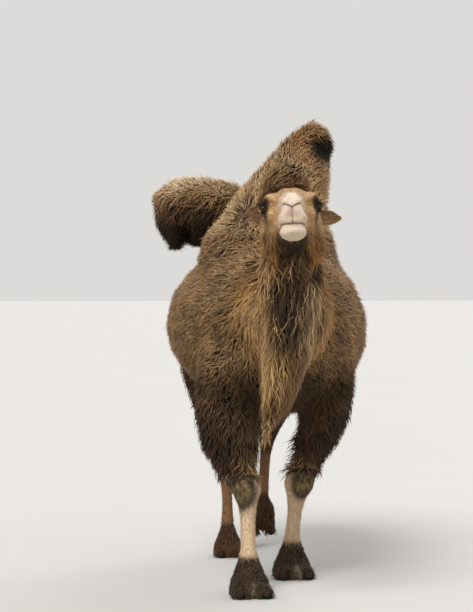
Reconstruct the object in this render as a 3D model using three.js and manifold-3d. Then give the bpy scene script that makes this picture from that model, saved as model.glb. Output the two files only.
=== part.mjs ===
// A walking two-humped camel in its winter coat, life size, in millimetres.
// The solids are the outside of the coat. The camel walks towards -Y with its left side on +X and the floor at z = 0.
// Its right legs reach forward, its left hind foot is off the ground, and both humps have flopped: the front one to its
// left and the rear one to its right.
import * as THREE from 'three';
import { mergeVertices } from 'three/addons/utils/BufferGeometryUtils.js';
import Module from 'manifold-3d';

const wasm = await Module();
wasm.setup();

// ---------------------------------------------------------------- driving dimensions

const CUT = 0.4; // width of the thin cuts between neighbouring pieces
const GAP = 0.3; // clearance of a piece that sits in a socket
const SHOULDER_Z = 1640; // the back over the shoulders
const EYE_R = 22;
const HEAD_PITCH = THREE.MathUtils.degToRad(15); // nose up
const HEAD_YAW = THREE.MathUtils.degToRad(8.5); // nose to the camel's right
const HEAD_ROLL = THREE.MathUtils.degToRad(2.5); // left eye higher
const POLL = new THREE.Vector3(-31, -648, 1720); // the top of the neck, where the head's own frame starts
const STRIDE = 255; // how far each forefoot stands ahead of or behind the shoulder

// Levels at which the legs are parted: above the fetlock, above the knee or hock.
const FETLOCK_Z = 172;
const KNEE_Z = 532;
const HOCK_Z = 655;
const LIFT = 80; // how much higher the joints of the lifted leg are

// ---------------------------------------------------------------- small tools

const V = (x, y, z) => new THREE.Vector3(x, y, z);

// A smooth function through [at, value] pairs that never overshoots them (a monotone cubic).
function smooth(...pairs) {
  const x = pairs.map((p) => p[0]);
  const y = pairs.map((p) => p[1]);
  const slope = x.slice(1).map((_, i) => (y[i + 1] - y[i]) / (x[i + 1] - x[i]));
  const tangent = x.map((_, i) => {
    if (i === 0) return slope[0];
    if (i === x.length - 1) return slope[i - 1];
    if (slope[i - 1] * slope[i] <= 0) return 0;
    return (2 * slope[i - 1] * slope[i]) / (slope[i - 1] + slope[i]);
  });
  return (at) => {
    const end = x.length - 1;
    if (at <= x[0]) return y[0];
    if (at >= x[end]) return y[end];
    const i = x.findIndex((_, k) => at < x[k + 1]);
    const h = x[i + 1] - x[i];
    const t = (at - x[i]) / h;
    return (
      y[i] * (1 + 2 * t) * (1 - t) ** 2 +
      y[i + 1] * t * t * (3 - 2 * t) +
      h * t * (1 - t) * (tangent[i] * (1 - t) - tangent[i + 1] * t)
    );
  };
}

// A closed skin over a row of rings that have the same number of points, with a fan over each end.
function skinOver(rings) {
  const sides = rings[0].length;
  const points = rings.flat();
  const ends = [rings[0], rings[rings.length - 1]];
  const centres = ends.map((ring) => ring.reduce((sum, p) => sum.add(p), V(0, 0, 0)).divideScalar(sides));
  const faces = [];
  for (let r = 0; r < rings.length - 1; r++) {
    for (let s = 0; s < sides; s++) {
      const a = r * sides + s;
      const b = r * sides + ((s + 1) % sides);
      faces.push(a, b, b + sides, a, b + sides, a + sides);
    }
  }
  const last = (rings.length - 1) * sides;
  for (let s = 0; s < sides; s++) {
    const next = (s + 1) % sides;
    faces.push(points.length, next, s, points.length + 1, last + s, last + next);
  }
  const geometry = new THREE.BufferGeometry().setFromPoints([...points, ...centres]);
  return geometry.setIndex(faces);
}

// A closed three.js geometry as a solid, turned outside out if its faces point inwards.
function solid(geometry) {
  const bare = new THREE.BufferGeometry()
    .setAttribute('position', geometry.getAttribute('position'))
    .setIndex(geometry.index);
  const merged = mergeVertices(bare, 1e-3);
  const build = (triVerts) =>
    new wasm.Manifold(new wasm.Mesh({ numProp: 3, vertProperties: merged.attributes.position.array, triVerts }));
  const made = build(new Uint32Array(merged.index.array));
  return made.volume() > 0 ? made : build(new Uint32Array(merged.index.array).reverse());
}

// A bead: an ellipsoid with its own half sizes, turned about Y by roll, about X by tilt and about Z by turn.
function bead(at, radii, { roll = 0, tilt = 0, turn = 0, detail = [7, 4], grow = 0 } = {}) {
  const [rx, ry, rz] = radii.map((r) => r + grow);
  const ball = new THREE.SphereGeometry(1, ...detail);
  ball.scale(rx, ry, rz).rotateY(roll).rotateX(tilt).rotateZ(turn).translate(at.x, at.y, at.z);
  return solid(ball);
}

// A limb: rings along a spine. Each joint is [x, y, z, half width, reach on the front or top, reach on the back or below].
// side is the direction of the half width. square above 1 fills the corners of the section, under 1 draws them in.
function limb(joints, { side = V(1, 0, 0), sides = 9, perJoint = 1.3, square = 1, grow = 0 } = {}) {
  const spine = new THREE.CatmullRomCurve3(joints.map(([x, y, z]) => V(x, y, z)), false, 'centripetal');
  const sized = [3, 4, 5].map((column) => smooth(...joints.map((joint, i) => [i, joint[column] + grow])));
  const steps = Math.round((joints.length - 1) * perJoint);
  const rings = [];
  for (let k = 0; k <= steps; k++) {
    const t = k / steps;
    const [wide, front, back] = sized.map((size) => size(t * (joints.length - 1)));
    const centre = spine.getPoint(t);
    const along = spine.getTangent(t);
    const u = side.clone().addScaledVector(along, -side.dot(along)).normalize();
    const v = along.clone().cross(u);
    rings.push(ringAt(centre, u, v, wide, front, back, sides, square));
  }
  return solid(skinOver(rings));
}

function ringAt(centre, u, v, wide, front, back, sides, square = 1) {
  const power = (x) => Math.sign(x) * Math.abs(x) ** (1 / square);
  return Array.from({ length: sides }, (_, i) => {
    const angle = ((i + 0.5) / sides) * 2 * Math.PI;
    const across = wide * power(Math.cos(angle));
    const rise = (Math.sin(angle) > 0 ? front : back) * power(Math.sin(angle));
    return centre.clone().addScaledVector(u, across).addScaledVector(v, rise);
  });
}

const join = (...solids) => solids.reduce((whole, next) => whole.add(next));

// ---------------------------------------------------------------- trunk, humps, neck, tail

const TRUNK_Y = [-345, 1455];
const trunkShape = {
  top: smooth([-345, 1230], [-300, 1400], [-200, 1530], [0, SHOULDER_Z], [320, 1655], [620, 1600], [950, 1632],
    [1200, 1565], [1350, 1470], [1420, 1388], [1455, 1300]),
  bottom: smooth([-345, 1130], [-300, 985], [-200, 880], [0, 815], [300, 800], [650, 850], [950, 935], [1200, 1040],
    [1360, 1112], [1425, 1160], [1455, 1225]),
  sway: smooth([-345, 0], [0, 8], [500, 30], [900, 26], [1300, 0], [1455, 0]),
  half: smooth([-345, 50], [-300, 175], [-200, 285], [0, 388], [300, 480], [600, 508], [850, 488], [1100, 420],
    [1300, 325], [1400, 225], [1440, 130], [1455, 60]),
  widest: smooth([-345, 1180], [0, 1190], [600, 1200], [1000, 1240], [1455, 1262]),
};

// Rings in upright planes across the body. They crowd towards the round ends.
function trunk(grow) {
  const steps = 13;
  const rings = [];
  for (let k = 0; k <= steps; k++) {
    const share = (1 - Math.cos((Math.PI * k) / steps)) / 2;
    const y = THREE.MathUtils.lerp(...TRUNK_Y, 0.55 * share + (0.45 * k) / steps);
    const z = trunkShape.widest(y);
    rings.push(ringAt(V(trunkShape.sway(y), y, z), V(1, 0, 0), V(0, 0, 1), trunkShape.half(y) + grow,
      trunkShape.top(y) - z + grow, z - trunkShape.bottom(y) + grow, 17, 1.04));
  }
  return solid(skinOver(rings));
}

// The front hump stands up and folds over to the camel's left.
function humpFront(grow) {
  return limb([
    [8, 310, 1440, 335, 390, 385],
    [10, 308, 1550, 322, 370, 378],
    [32, 305, 1655, 300, 322, 330],
    [58, 300, 1790, 255, 252, 262],
    [112, 292, 1930, 215, 180, 214],
    [168, 283, 2058, 182, 140, 158],
    [201, 275, 2144, 152, 110, 96],
    [262, 271, 2112, 128, 80, 68],
    [272, 268, 2034, 66, 36, 44],
  ], { side: V(0, 1, 0), sides: 13, perJoint: 1.6, grow });
}

// The rear hump folds over to the camel's right and hangs down its flank, with long hair below the fold.
function humpRear(grow) {
  return limb([
    [0, 960, 1460, 320, 250, 250],
    [-5, 958, 1600, 290, 215, 225],
    [-50, 955, 1722, 262, 150, 180],
    [-150, 950, 1782, 250, 142, 205],
    [-262, 945, 1784, 244, 166, 222],
    [-352, 941, 1770, 230, 160, 234],
    [-396, 938, 1752, 212, 108, 198],
    [-416, 936, 1716, 184, 96, 88],
    [-404, 935, 1668, 140, 84, 54],
    [-376, 934, 1612, 70, 50, 34],
  ], { side: V(0, 1, 0), sides: 13, perJoint: 1, grow });
}

const NECK = [
  [0, -40, 1330, 285, 290, 330],
  [0, -210, 1290, 255, 235, 290],
  [-4, -370, 1262, 212, 200, 225],
  [-12, -520, 1290, 180, 178, 170],
  [-22, -632, 1400, 165, 165, 148],
  [-28, -672, 1540, 158, 158, 140],
  [-30, -664, 1670, 146, 148, 132],
  [-32, -640, 1775, 118, 110, 112],
];
const neck = (grow) => limb(NECK, { sides: 14, perJoint: 1.5, grow });

const tail = () =>
  limb([
    [0, 1360, 1345, 56, 56, 60],
    [0, 1440, 1305, 48, 46, 44],
    [-5, 1484, 1205, 36, 34, 34],
    [-10, 1486, 1080, 32, 30, 30],
    [-15, 1472, 960, 42, 40, 38],
    [-18, 1462, 850, 46, 42, 40],
    [-20, 1455, 770, 26, 24, 22],
    [-21, 1450, 730, 6, 6, 6],
  ], { sides: 8, perJoint: 1.2 });

// The curtain of long hair under the neck, from the throat to the chest. Its tip swings to the camel's right.
function throatFringe() {
  const shape = {
    hem: smooth([-838, 1500], [-815, 1330], [-770, 1100], [-710, 905], [-640, 765], [-590, 722], [-530, 770],
      [-440, 900], [-350, 985], [-285, 1060]),
    half: smooth([-838, 30], [-800, 105], [-740, 142], [-640, 150], [-500, 150], [-380, 140], [-285, 90]),
    root: smooth([-838, 1560], [-780, 1480], [-700, 1400], [-600, 1330], [-450, 1240], [-285, 1200]),
  };
  const swing = -165;
  const steps = 10;
  const sides = 10;
  const rings = [];
  for (let k = 0; k <= steps; k++) {
    const y = THREE.MathUtils.lerp(-838, -285, k / steps);
    const top = shape.root(y);
    const drop = top - shape.hem(y);
    rings.push(Array.from({ length: sides }, (_, i) => {
      const angle = ((i + 0.5) / sides) * 2 * Math.PI;
      const down = Math.max(0, -Math.sin(angle));
      const across = shape.half(y) * Math.cos(angle) * (1 - 0.3 * down);
      const sway = swing * (down * drop / 700) ** 2;
      return V(-22 + across + sway, y, top + (Math.sin(angle) > 0 ? 40 : drop) * Math.sin(angle));
    }));
  }
  return solid(skinOver(rings));
}

// ---------------------------------------------------------------- head, in its own frame: s forward from the poll, z up

// A point of the head's frame, in the body's frame.
function headPoint(x, s, z) {
  return V(x, -s, z)
    .applyAxisAngle(V(0, 1, 0), -HEAD_ROLL)
    .applyAxisAngle(V(1, 0, 0), -HEAD_PITCH)
    .applyAxisAngle(V(0, 0, 1), -HEAD_YAW)
    .add(POLL);
}
const headTurn = { roll: -HEAD_ROLL, tilt: -HEAD_PITCH, turn: -HEAD_YAW };
const headBead = (x, s, z, radii, options) => bead(headPoint(x, s, z), radii, { ...headTurn, ...options });
const bothSides = (make) => join(make(-1), make(1));

function skull(grow) {
  const shape = {
    top: smooth([-85, 30], [-50, 82], [20, 106], [90, 110], [150, 100], [210, 72], [270, 40], [330, 14], [390, -4],
      [440, -18], [475, -42], [497, -82]),
    bottom: smooth([-85, -40], [-50, -95], [20, -160], [90, -196], [160, -202], [230, -196], [300, -192],
      [370, -196], [430, -206], [475, -198], [497, -160]),
    half: smooth([-85, 50], [-50, 82], [20, 108], [90, 118], [160, 114], [215, 92], [270, 76], [330, 67], [390, 63],
      [440, 64], [475, 57], [497, 32]),
    widest: smooth([-85, -5], [20, -30], [120, -20], [200, -40], [300, -85], [400, -106], [497, -120]),
  };
  const stations = [-85, -60, -20, 30, 80, 130, 175, 215, 255, 305, 360, 410, 450, 480, 497];
  const rings = stations.map((s) => {
    const z = shape.widest(s);
    const u = headPoint(1, 0, 0).sub(POLL);
    const v = headPoint(0, 0, 1).sub(POLL);
    return ringAt(headPoint(0, s, z), u, v, shape.half(s) + grow, shape.top(s) - z + grow, z - shape.bottom(s) + grow,
      12, 1.1);
  });
  return solid(skinOver(rings));
}

const EYE = { x: 116, s: 180, z: -8 };
const eyeCentre = (side) => headPoint(side * EYE.x, EYE.s, EYE.z);
const eyeball = (side, grow = 0) =>
  bead(eyeCentre(side), [EYE_R, EYE_R, EYE_R], { ...headTurn, detail: [9, 6], grow });

// The head as one solid: skull and muzzle, brows and sockets, cheeks, nostril wings, the split upper lip and the
// hanging lower lip.
function head(grow) {
  const pair = (x, ...where) => bothSides((m) => headBead(m * x, ...where, { grow }));
  return join(
    skull(grow),
    pair(76, 164, 26, [56, 76, 42]), // brows
    pair(76, 196, -50, [48, 68, 44]), // under the eyes
    pair(EYE.x - 18, EYE.s + 2, EYE.z, [33, 44, 33]), // lids
    pair(66, 84, -104, [66, 104, 90]), // cheeks
    pair(27, 448, -72, [38, 50, 38]), // nostril wings
    pair(24, 458, -124, [44, 50, 52]), // halves of the upper lip
    headBead(0, 444, -196, [60, 54, 38], { grow, detail: [10, 7] }), // lower lip
  );
}

// A cupped, pointed ear that sticks out sideways and a little back, open to the front. droop is how far its tip hangs
// and long stretches it.
function ear(side, { droop, long }) {
  const root = [side * 92, -14, 6];
  const reach = [[0, 0, 0], [30, -6, 0.1], [64, -14, 0.35], [100, -22, 0.75], [126, -30, 1]];
  const trumpet = (wides, deeps, forward) => {
    const centres = reach.map(([out, s, share]) =>
      headPoint(root[0] + side * long * out, root[1] + s + forward, root[2] - share * droop));
    return limb(centres.map((p, i) => [p.x, p.y, p.z, wides[i], deeps[i], deeps[i]]), {
      side: headPoint(0, 0, 1).sub(POLL), sides: 7, perJoint: 1.3,
    });
  };
  const outer = trumpet([28, 36, 40, 29, 8], [25, 28, 25, 16, 6], 0);
  const cup = trumpet([12, 22, 27, 18, 4], [10, 18, 17, 11, 4], 17);
  const rootBlock = bead(headPoint(root[0], root[1], root[2]), [34, 34, 34], { ...headTurn, detail: [10, 7] });
  return outer.subtract(cup.subtract(rootBlock));
}
const EARS = { right: { droop: -62, long: 0.8 }, left: { droop: 2, long: 1.04 } };

// The mop of curls on the crown: it falls a little over the brow and runs back down the nape.
function topknot() {
  const crest = [
    // s, z, half width, up, down
    [150, 88, 40, 22, 22],
    [112, 112, 88, 56, 50],
    [48, 146, 116, 122, 80],
    [-24, 152, 124, 128, 88],
    [-92, 108, 112, 104, 80],
    [-140, 40, 76, 62, 50],
    [-160, 0, 24, 20, 18],
  ];
  const joints = crest.map(([s, z, wide, up, down]) => [...headPoint(-8, s, z).toArray(), wide, up, down]);
  const across = headPoint(-1, 0, 0).sub(POLL);
  const lobe = headBead(-84, 108, 66, [66, 56, 56]); // hangs over the right brow
  return limb(joints, { side: across, sides: 10, perJoint: 1.2 }).add(lobe);
}

// ---------------------------------------------------------------- legs

// A foot in its own frame: sole at z = 0 under the origin, toes towards -Y. Two toes spread a broad, soft pad.
// lean is how far the ankle stands behind the middle of the sole.
function footPad({ size, foot }) {
  const level = [
    // z, half width, forward, back, share of the lean
    [0, 82, 96, 84, 0],
    [10, 92, 108, 94, 0],
    [34, 95, 110, 97, 0.08],
    [66, 86, 92, 88, 0.25],
    [98, 71, 68, 74, 0.46],
    [130, 57, 54, 60, 0.66],
    [168, 46, 44, 48, 0.86],
    [200, 36, 34, 38, 1],
  ];
  const rings = level.map(([z, wide, front, back, share]) =>
    ringAt(V(0, share * foot.lean, z * size), V(1, 0, 0), V(0, -1, 0), wide * size, front * size, back * size, 10));
  const toes = bothSides((m) =>
    bead(V(m * 45, -66, 26).multiplyScalar(size), [50, 66, 50].map((r) => r * size), { turn: m * 0.16 }));
  const below = solid(new THREE.BoxGeometry(400, 400, 200).translate(0, 0, -100));
  return solid(skinOver(rings)).add(toes).subtract(below);
}

// A toenail: a blunt wedge at the front of a toe, in the foot's frame.
function nail(size, m, grow = 0) {
  const at = V(m * 55, -118, 24).multiplyScalar(size);
  const rough = bead(at, [23, 25, 22].map((r) => r * size), { tilt: 0.5, turn: m * 0.25, detail: [6, 5], grow });
  const below = solid(new THREE.BoxGeometry(400, 400, 200).translate(0, 0, -100 + 3 * size));
  return rough.subtract(below);
}

// Each leg: its joints from the shoulder or hip down to the fetlock, then where the foot stands and how it is turned.
const LEGS = {
  foreleg_right: {
    size: 1.08,
    foot: { at: [-162, -STRIDE, 0], pitch: 0, lean: 52 },
    joints: [
      [-182, 30, 1440, 70, 110, 120],
      [-216, 20, 1310, 116, 185, 172],
      [-232, 15, 1180, 142, 215, 190],
      [-246, 10, 960, 158, 190, 185],
      [-238, -28, 790, 170, 150, 165],
      [-217, -76, 640, 154, 100, 120],
      [-178, -106, 540, 98, 72, 84],
      [-158, -124, 460, 74, 82, 66],
      [-157, -140, 388, 48, 50, 50],
      [-159, -170, 300, 40, 41, 44],
      [-161, -198, 222, 42, 42, 46],
      [-162, -206, 175, 44, 42, 48],
    ],
  },
  foreleg_left: {
    size: 1.08,
    foot: { at: [112, STRIDE, 0], pitch: 0, lean: -6 },
    joints: [
      [184, 40, 1440, 70, 110, 120],
      [220, 30, 1310, 118, 185, 172],
      [236, 25, 1180, 146, 215, 190],
      [246, 30, 960, 156, 190, 185],
      [236, 66, 790, 140, 150, 165],
      [194, 112, 640, 108, 100, 116],
      [150, 142, 540, 77, 76, 84],
      [130, 162, 460, 78, 86, 68],
      [122, 182, 388, 50, 50, 52],
      [117, 210, 300, 39, 41, 44],
      [113, 238, 222, 42, 42, 46],
      [112, 248, 175, 44, 42, 48],
    ],
  },
  hindleg_right: {
    size: 0.92,
    foot: { at: [-112, 1000, 0], pitch: 0, lean: 46 },
    joints: [
      [-180, 1150, 1390, 80, 150, 150],
      [-228, 1140, 1180, 150, 250, 225],
      [-236, 1085, 1000, 140, 205, 200],
      [-212, 1088, 840, 112, 142, 150],
      [-172, 1114, 690, 92, 90, 100],
      [-142, 1134, 580, 80, 74, 84],
      [-124, 1128, 480, 56, 52, 60],
      [-112, 1096, 370, 34, 37, 40],
      [-109, 1068, 270, 33, 35, 38],
      [-111, 1048, 195, 37, 37, 42],
      [-112, 1036, 150, 42, 40, 46],
    ],
  },
  hindleg_left: {
    size: 0.92,
    foot: { at: [118, 1462, 152], pitch: -60, lean: 34 },
    joints: [
      [180, 1150, 1390, 80, 150, 150],
      [232, 1155, 1180, 148, 245, 220],
      [240, 1130, 1010, 136, 200, 195],
      [206, 1180, 870, 110, 135, 145],
      [168, 1240, 755, 90, 92, 98],
      [146, 1278, 670, 76, 70, 80],
      [136, 1296, 590, 50, 50, 56],
      [128, 1308, 500, 35, 38, 41],
      [122, 1316, 400, 33, 36, 39],
      [118, 1320, 320, 36, 38, 40],
      [118, 1322, 268, 36, 36, 38],
    ],
  },
};

// Places something of a foot's frame on its leg.
function footPlace(leg, shape) {
  const { at, pitch } = leg.foot;
  return shape.rotate([-pitch, 0, 0]).translate(at);
}

const legBody = (leg, grow) => limb(leg.joints, { grow }).add(footPlace(leg, footPad(leg)));

// ---------------------------------------------------------------- parting the body

// A block of space as a function of grow, which widens it on every face.
const block = ([sx, sy, sz], [x, y, z], { aboutX = 0, aboutY = 0, aboutZ = 0 } = {}) => (grow) =>
  solid(
    new THREE.BoxGeometry(sx + 2 * grow, sy + 2 * grow, sz + 2 * grow)
      .rotateX(aboutX)
      .rotateY(aboutY)
      .rotateZ(aboutZ)
      .translate(x, y, z),
  );
const overlap = (...blocks) => (grow) =>
  blocks.map((b) => b(grow)).reduce((common, next) => common.intersect(next));

// A block with one face through a point, facing forwards and this angle upwards.
function beyond([x, y, z], angle, [wide, deep, tall]) {
  const outward = V(0, -Math.cos(angle), Math.sin(angle));
  const centre = V(x, y, z).addScaledVector(outward, deep / 2);
  return block([wide, deep, tall], centre.toArray(), { aboutX: -angle });
}

// A deep block whose top is a plane through a point. The plane climbs by rear towards the tail and, as the belly does,
// by outer away from the middle of the body. m is the side: -1 right, 1 left.
function under(m, [x, y, z], { outer, rear }, length) {
  const deep = 1500;
  const turn = { aboutX: Math.atan(rear), aboutY: -m * Math.atan(outer) };
  const down = V(0, 0, -1).applyAxisAngle(V(1, 0, 0), turn.aboutX).applyAxisAngle(V(0, 1, 0), turn.aboutY);
  const centre = V(m * x, y, z).addScaledVector(down, deep / 2);
  return block([900, length, deep], centre.toArray(), turn);
}

// The space of a leg between two levels, on one side of the upright plane at middle.
function legSpace(m, [front, rear], [low, high], middle) {
  const wide = 640;
  const centre = [middle + (m * wide) / 2, (front + rear) / 2, (low + high) / 2];
  return block([wide, rear - front, high - low], centre);
}

const ARM_Y = [-300, 265];
const FORE_Y = [-520, 470];
const HIND_Y = [780, 1700];
const FORE_MIDDLE = -22;
const armTop = (m) => under(m, [195, 0, 815], { outer: 0.6, rear: 0 }, 1400);
const thighTop = (m) => under(m, [215, 1100, 1022], { outer: 0.34, rear: 0.42 }, 1400);
const NECK_SPACE = beyond([0, -238, 1290], 0.3, [720, 900, 1150]);
const HEAD_SPACE = beyond([POLL.x, POLL.y - 12, POLL.z - 88], 0.86, [700, 900, 760]);
const jawAt = headPoint(0, 312, -263);
const JAW_SPACE = block([400, 560, 240], jawAt.toArray(), {
  aboutX: 0.148 - HEAD_PITCH,
  aboutY: -HEAD_ROLL,
  aboutZ: -HEAD_YAW,
});

// What each named piece takes from the whole, in the order in which they are cut.
const SPACES = [
  ['lower_jaw', overlap(HEAD_SPACE, JAW_SPACE)],
  ['head', HEAD_SPACE],
  ['neck', NECK_SPACE],
  ['hump_front', block([1100, 680, 800], [0, 310, 1692 + 400])],
  ['hump_rear', block([1400, 720, 800], [-80, 960, 1653 + 400], { aboutY: -0.197 })],
  ['foreleg_right', overlap(armTop(-1), legSpace(-1, ARM_Y, [KNEE_Z, 1300], FORE_MIDDLE))],
  ['foreleg_left', overlap(armTop(1), legSpace(1, ARM_Y, [KNEE_Z, 1300], FORE_MIDDLE))],
  ['forecannon_right', legSpace(-1, FORE_Y, [FETLOCK_Z, KNEE_Z], FORE_MIDDLE)],
  ['forecannon_left', legSpace(1, FORE_Y, [FETLOCK_Z, KNEE_Z], FORE_MIDDLE)],
  ['forefoot_right', legSpace(-1, FORE_Y, [-50, FETLOCK_Z], FORE_MIDDLE)],
  ['forefoot_left', legSpace(1, FORE_Y, [-50, FETLOCK_Z], FORE_MIDDLE)],
  ['thigh_right', overlap(thighTop(-1), legSpace(-1, HIND_Y, [HOCK_Z, 1400], 0))],
  ['thigh_left', overlap(thighTop(1), legSpace(1, HIND_Y, [HOCK_Z + LIFT, 1400], 0))],
  ['hindcannon_right', legSpace(-1, HIND_Y, [FETLOCK_Z - 10, HOCK_Z], 0)],
  ['hindcannon_left', legSpace(1, HIND_Y, [FETLOCK_Z + LIFT + 35, HOCK_Z + LIFT], 0)],
  ['hindfoot_right', legSpace(-1, HIND_Y, [-50, FETLOCK_Z - 10], 0)],
  ['hindfoot_left', legSpace(1, HIND_Y, [-50, FETLOCK_Z + LIFT + 35], 0)],
];

// ---------------------------------------------------------------- surfaces and meshes

const finish = {
  wool: new THREE.MeshStandardMaterial({ color: 0x7a5f45, roughness: 0.95, metalness: 0 }),
  mane: new THREE.MeshStandardMaterial({ color: 0x5a422e, roughness: 0.95, metalness: 0 }),
  face: new THREE.MeshStandardMaterial({ color: 0xb79a7c, roughness: 0.9, metalness: 0 }),
  cannon: new THREE.MeshStandardMaterial({ color: 0xa58c70, roughness: 0.9, metalness: 0 }),
  foot: new THREE.MeshStandardMaterial({ color: 0x4c3c2d, roughness: 0.85, metalness: 0 }),
  eye: new THREE.MeshStandardMaterial({ color: 0x140d08, roughness: 0.08, metalness: 0 }),
  nail: new THREE.MeshStandardMaterial({ color: 0x2f2822, roughness: 0.5, metalness: 0 }),
};
function finishOf(name) {
  if (/jaw|head|ear/.test(name)) return finish.face;
  if (/cannon/.test(name)) return finish.cannon;
  if (/foot/.test(name)) return finish.foot;
  if (/topknot|fringe|foreleg|thigh/.test(name)) return finish.mane;
  return finish.wool;
}

function meshOf(name, body, material) {
  const { numProp, numVert, vertProperties, triVerts } = body.getMesh();
  const positions = new Float32Array(numVert * 3);
  for (let i = 0; i < numVert; i++) positions.set(vertProperties.subarray(i * numProp, i * numProp + 3), i * 3);
  const geometry = new THREE.BufferGeometry()
    .setAttribute('position', new THREE.BufferAttribute(positions, 3))
    .setIndex(new THREE.BufferAttribute(triVerts, 1));
  geometry.computeVertexNormals();
  const mesh = new THREE.Mesh(geometry, material);
  mesh.name = name;
  return mesh;
}

// The largest separate body of a solid: a cut can leave crumbs of a neighbour.
const largest = (body) => body.decompose().reduce((a, b) => (b.volume() > a.volume() ? b : a));

// ---------------------------------------------------------------- the camel

const camel = new THREE.Group();
const add = (name, body, material = finishOf(name)) => camel.add(meshOf(name, largest(body), material));

// The flesh and its coat as one whole.
const flesh = (grow) =>
  join(trunk(grow), humpFront(grow), humpRear(grow), neck(grow), head(grow),
    ...Object.values(LEGS).map((leg) => legBody(leg, grow)));

// Eyes and toenails sit in sockets of the whole.
let rest = flesh(0);
for (const [m, where] of [[-1, 'right'], [1, 'left']]) {
  rest = rest.subtract(eyeball(m, GAP));
  add(`eye_${where}`, eyeball(m), finish.eye);
}
for (const [name, leg] of Object.entries(LEGS)) {
  const outside = name.includes('right') ? -1 : 1;
  for (const m of [-1, 1]) {
    rest = rest.subtract(footPlace(leg, nail(leg.size, m, GAP)));
    const nailName = `${name.replace('leg', 'nail')}_${m === outside ? 'outer' : 'inner'}`;
    add(nailName, footPlace(leg, nail(leg.size, m)), finish.nail);
  }
}

// The tail, the ears and the long hair grow on the whole, a hairline gap away from it.
const around = flesh(GAP);
const ears = { right: ear(-1, EARS.right), left: ear(1, EARS.left) };
for (const [where, body] of Object.entries(ears)) add(`ear_${where}`, body.subtract(around));
add('topknot', topknot().subtract(around).subtract(join(ears.right, ears.left)));
add('throat_fringe', throatFringe().subtract(around));
add('tail', tail().subtract(around));

for (const [name, space] of SPACES) {
  add(name, rest.intersect(space(0)));
  rest = rest.subtract(space(CUT));
}
add('trunk', rest);

// The origin is on the floor under the middle of the whole animal.
const bounds = new THREE.Box3().setFromObject(camel);
const middle = bounds.getCenter(V(0, 0, 0));
camel.position.set(-middle.x, -middle.y, -bounds.min.z);

export default camel;
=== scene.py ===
"""The looks of a walking two-humped camel in its winter coat.

One skin is drawn over the solids of the body and sinks below them by the depth of the coat. Locks of hair
grow on it and follow the lie of the coat. Eyes, lashes and toenails are pieces of their own. The camel
walks towards -Y with its left side on +X. Lengths are in metres, unless they are said to be in millimetres.
"""

import math
from contextlib import contextmanager

import bpy
import numpy as np
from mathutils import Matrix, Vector
from mathutils.bvhtree import BVHTree
from mathutils.kdtree import KDTree


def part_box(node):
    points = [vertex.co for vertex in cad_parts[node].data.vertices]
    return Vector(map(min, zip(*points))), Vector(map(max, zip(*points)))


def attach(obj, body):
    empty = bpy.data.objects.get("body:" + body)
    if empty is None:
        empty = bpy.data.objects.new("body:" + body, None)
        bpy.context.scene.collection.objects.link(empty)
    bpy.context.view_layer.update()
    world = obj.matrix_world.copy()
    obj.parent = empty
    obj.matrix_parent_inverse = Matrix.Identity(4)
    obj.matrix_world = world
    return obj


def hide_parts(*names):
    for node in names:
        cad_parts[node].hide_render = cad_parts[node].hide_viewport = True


bl_info = {
    "name": "Two-humped camel",
    "version": (1, 0, 0),
    "blender": (4, 5, 0),
    "location": "3D View > Sidebar > Camel",
    "description": "Skin, coat, eyes and toenails of a life-size camel around its solids",
    "category": "Object",
}

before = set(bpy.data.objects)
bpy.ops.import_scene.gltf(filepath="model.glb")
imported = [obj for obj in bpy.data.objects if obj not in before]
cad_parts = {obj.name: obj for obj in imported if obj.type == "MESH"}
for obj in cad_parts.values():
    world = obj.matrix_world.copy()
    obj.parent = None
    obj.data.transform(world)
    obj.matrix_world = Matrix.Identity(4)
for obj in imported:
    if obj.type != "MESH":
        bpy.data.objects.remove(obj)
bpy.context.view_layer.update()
MM = 0.001
SIDES = {"right": -1, "left": 1}  # the sign of x on each side of the animal
BAKE_MAP = "OFBake"
ATTRIBUTE_KINDS = {"FLOAT": ("value", 1), "FLOAT_VECTOR": ("vector", 3), "FLOAT_COLOR": ("color", 4)}

# ---------------------------------------------------------------- small tools


def rgb(red, green, blue):
    """A colour given as it looks on a screen, 0 to 255, as linear values."""
    shown = np.array([red, green, blue], float) / 255
    return np.where(shown <= 0.04045, shown / 12.92, ((shown + 0.055) / 1.055) ** 2.4)


def unit(vectors):
    return vectors / np.maximum(np.linalg.norm(vectors, axis=-1, keepdims=True), 1e-9)


def rows(x, y, z):
    """Vectors from their three parts, each a number or one value per row."""
    return np.stack(np.broadcast_arrays(x, y, z), axis=-1).astype(float)


def ramp(value, low, high):
    """0 below low, 1 above high, and smooth in between. low may be the larger one."""
    share = np.clip((value - low) / (high - low), 0, 1)
    return share * share * (3 - 2 * share)


def bell(value, middle, width):
    """1 at the middle, falling off smoothly to 0 on both sides."""
    return np.exp(-(((value - middle) / width) ** 2))


def mix(a, b, share):
    """a where share is 0 and b where it is 1, for numbers or rows of numbers."""
    share = np.asarray(share, float)
    if np.ndim(b) > np.ndim(share) or np.ndim(a) > np.ndim(share):
        share = share[..., None]
    return a * (1 - share) + b * share


def corners_of(node):
    """The lowest and the highest corner of a node."""
    return [np.array(corner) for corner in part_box(node)]


def centre_of(node):
    low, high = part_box(node)
    return np.array((low + high) / 2)


def ripple(points, size, seed):
    """Soft random hills from -1 to 1 over space, each about size across."""
    rng = np.random.default_rng(seed)
    total = np.zeros(len(points))
    for _ in range(6):
        direction = unit(rng.normal(size=3)) * rng.uniform(0.7, 1.4) * math.pi / size
        total += np.sin(points @ direction + rng.uniform(0, 2 * math.pi))
    return np.clip(total / 2.6, -1, 1)


def read(mesh, collection, name, width, kind=np.float32):
    """One property of all of a mesh's elements as an array."""
    items = getattr(mesh, collection)
    found = np.empty(len(items) * width, kind)
    items.foreach_get(name, found)
    return found.reshape(-1, width) if width > 1 else found


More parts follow.
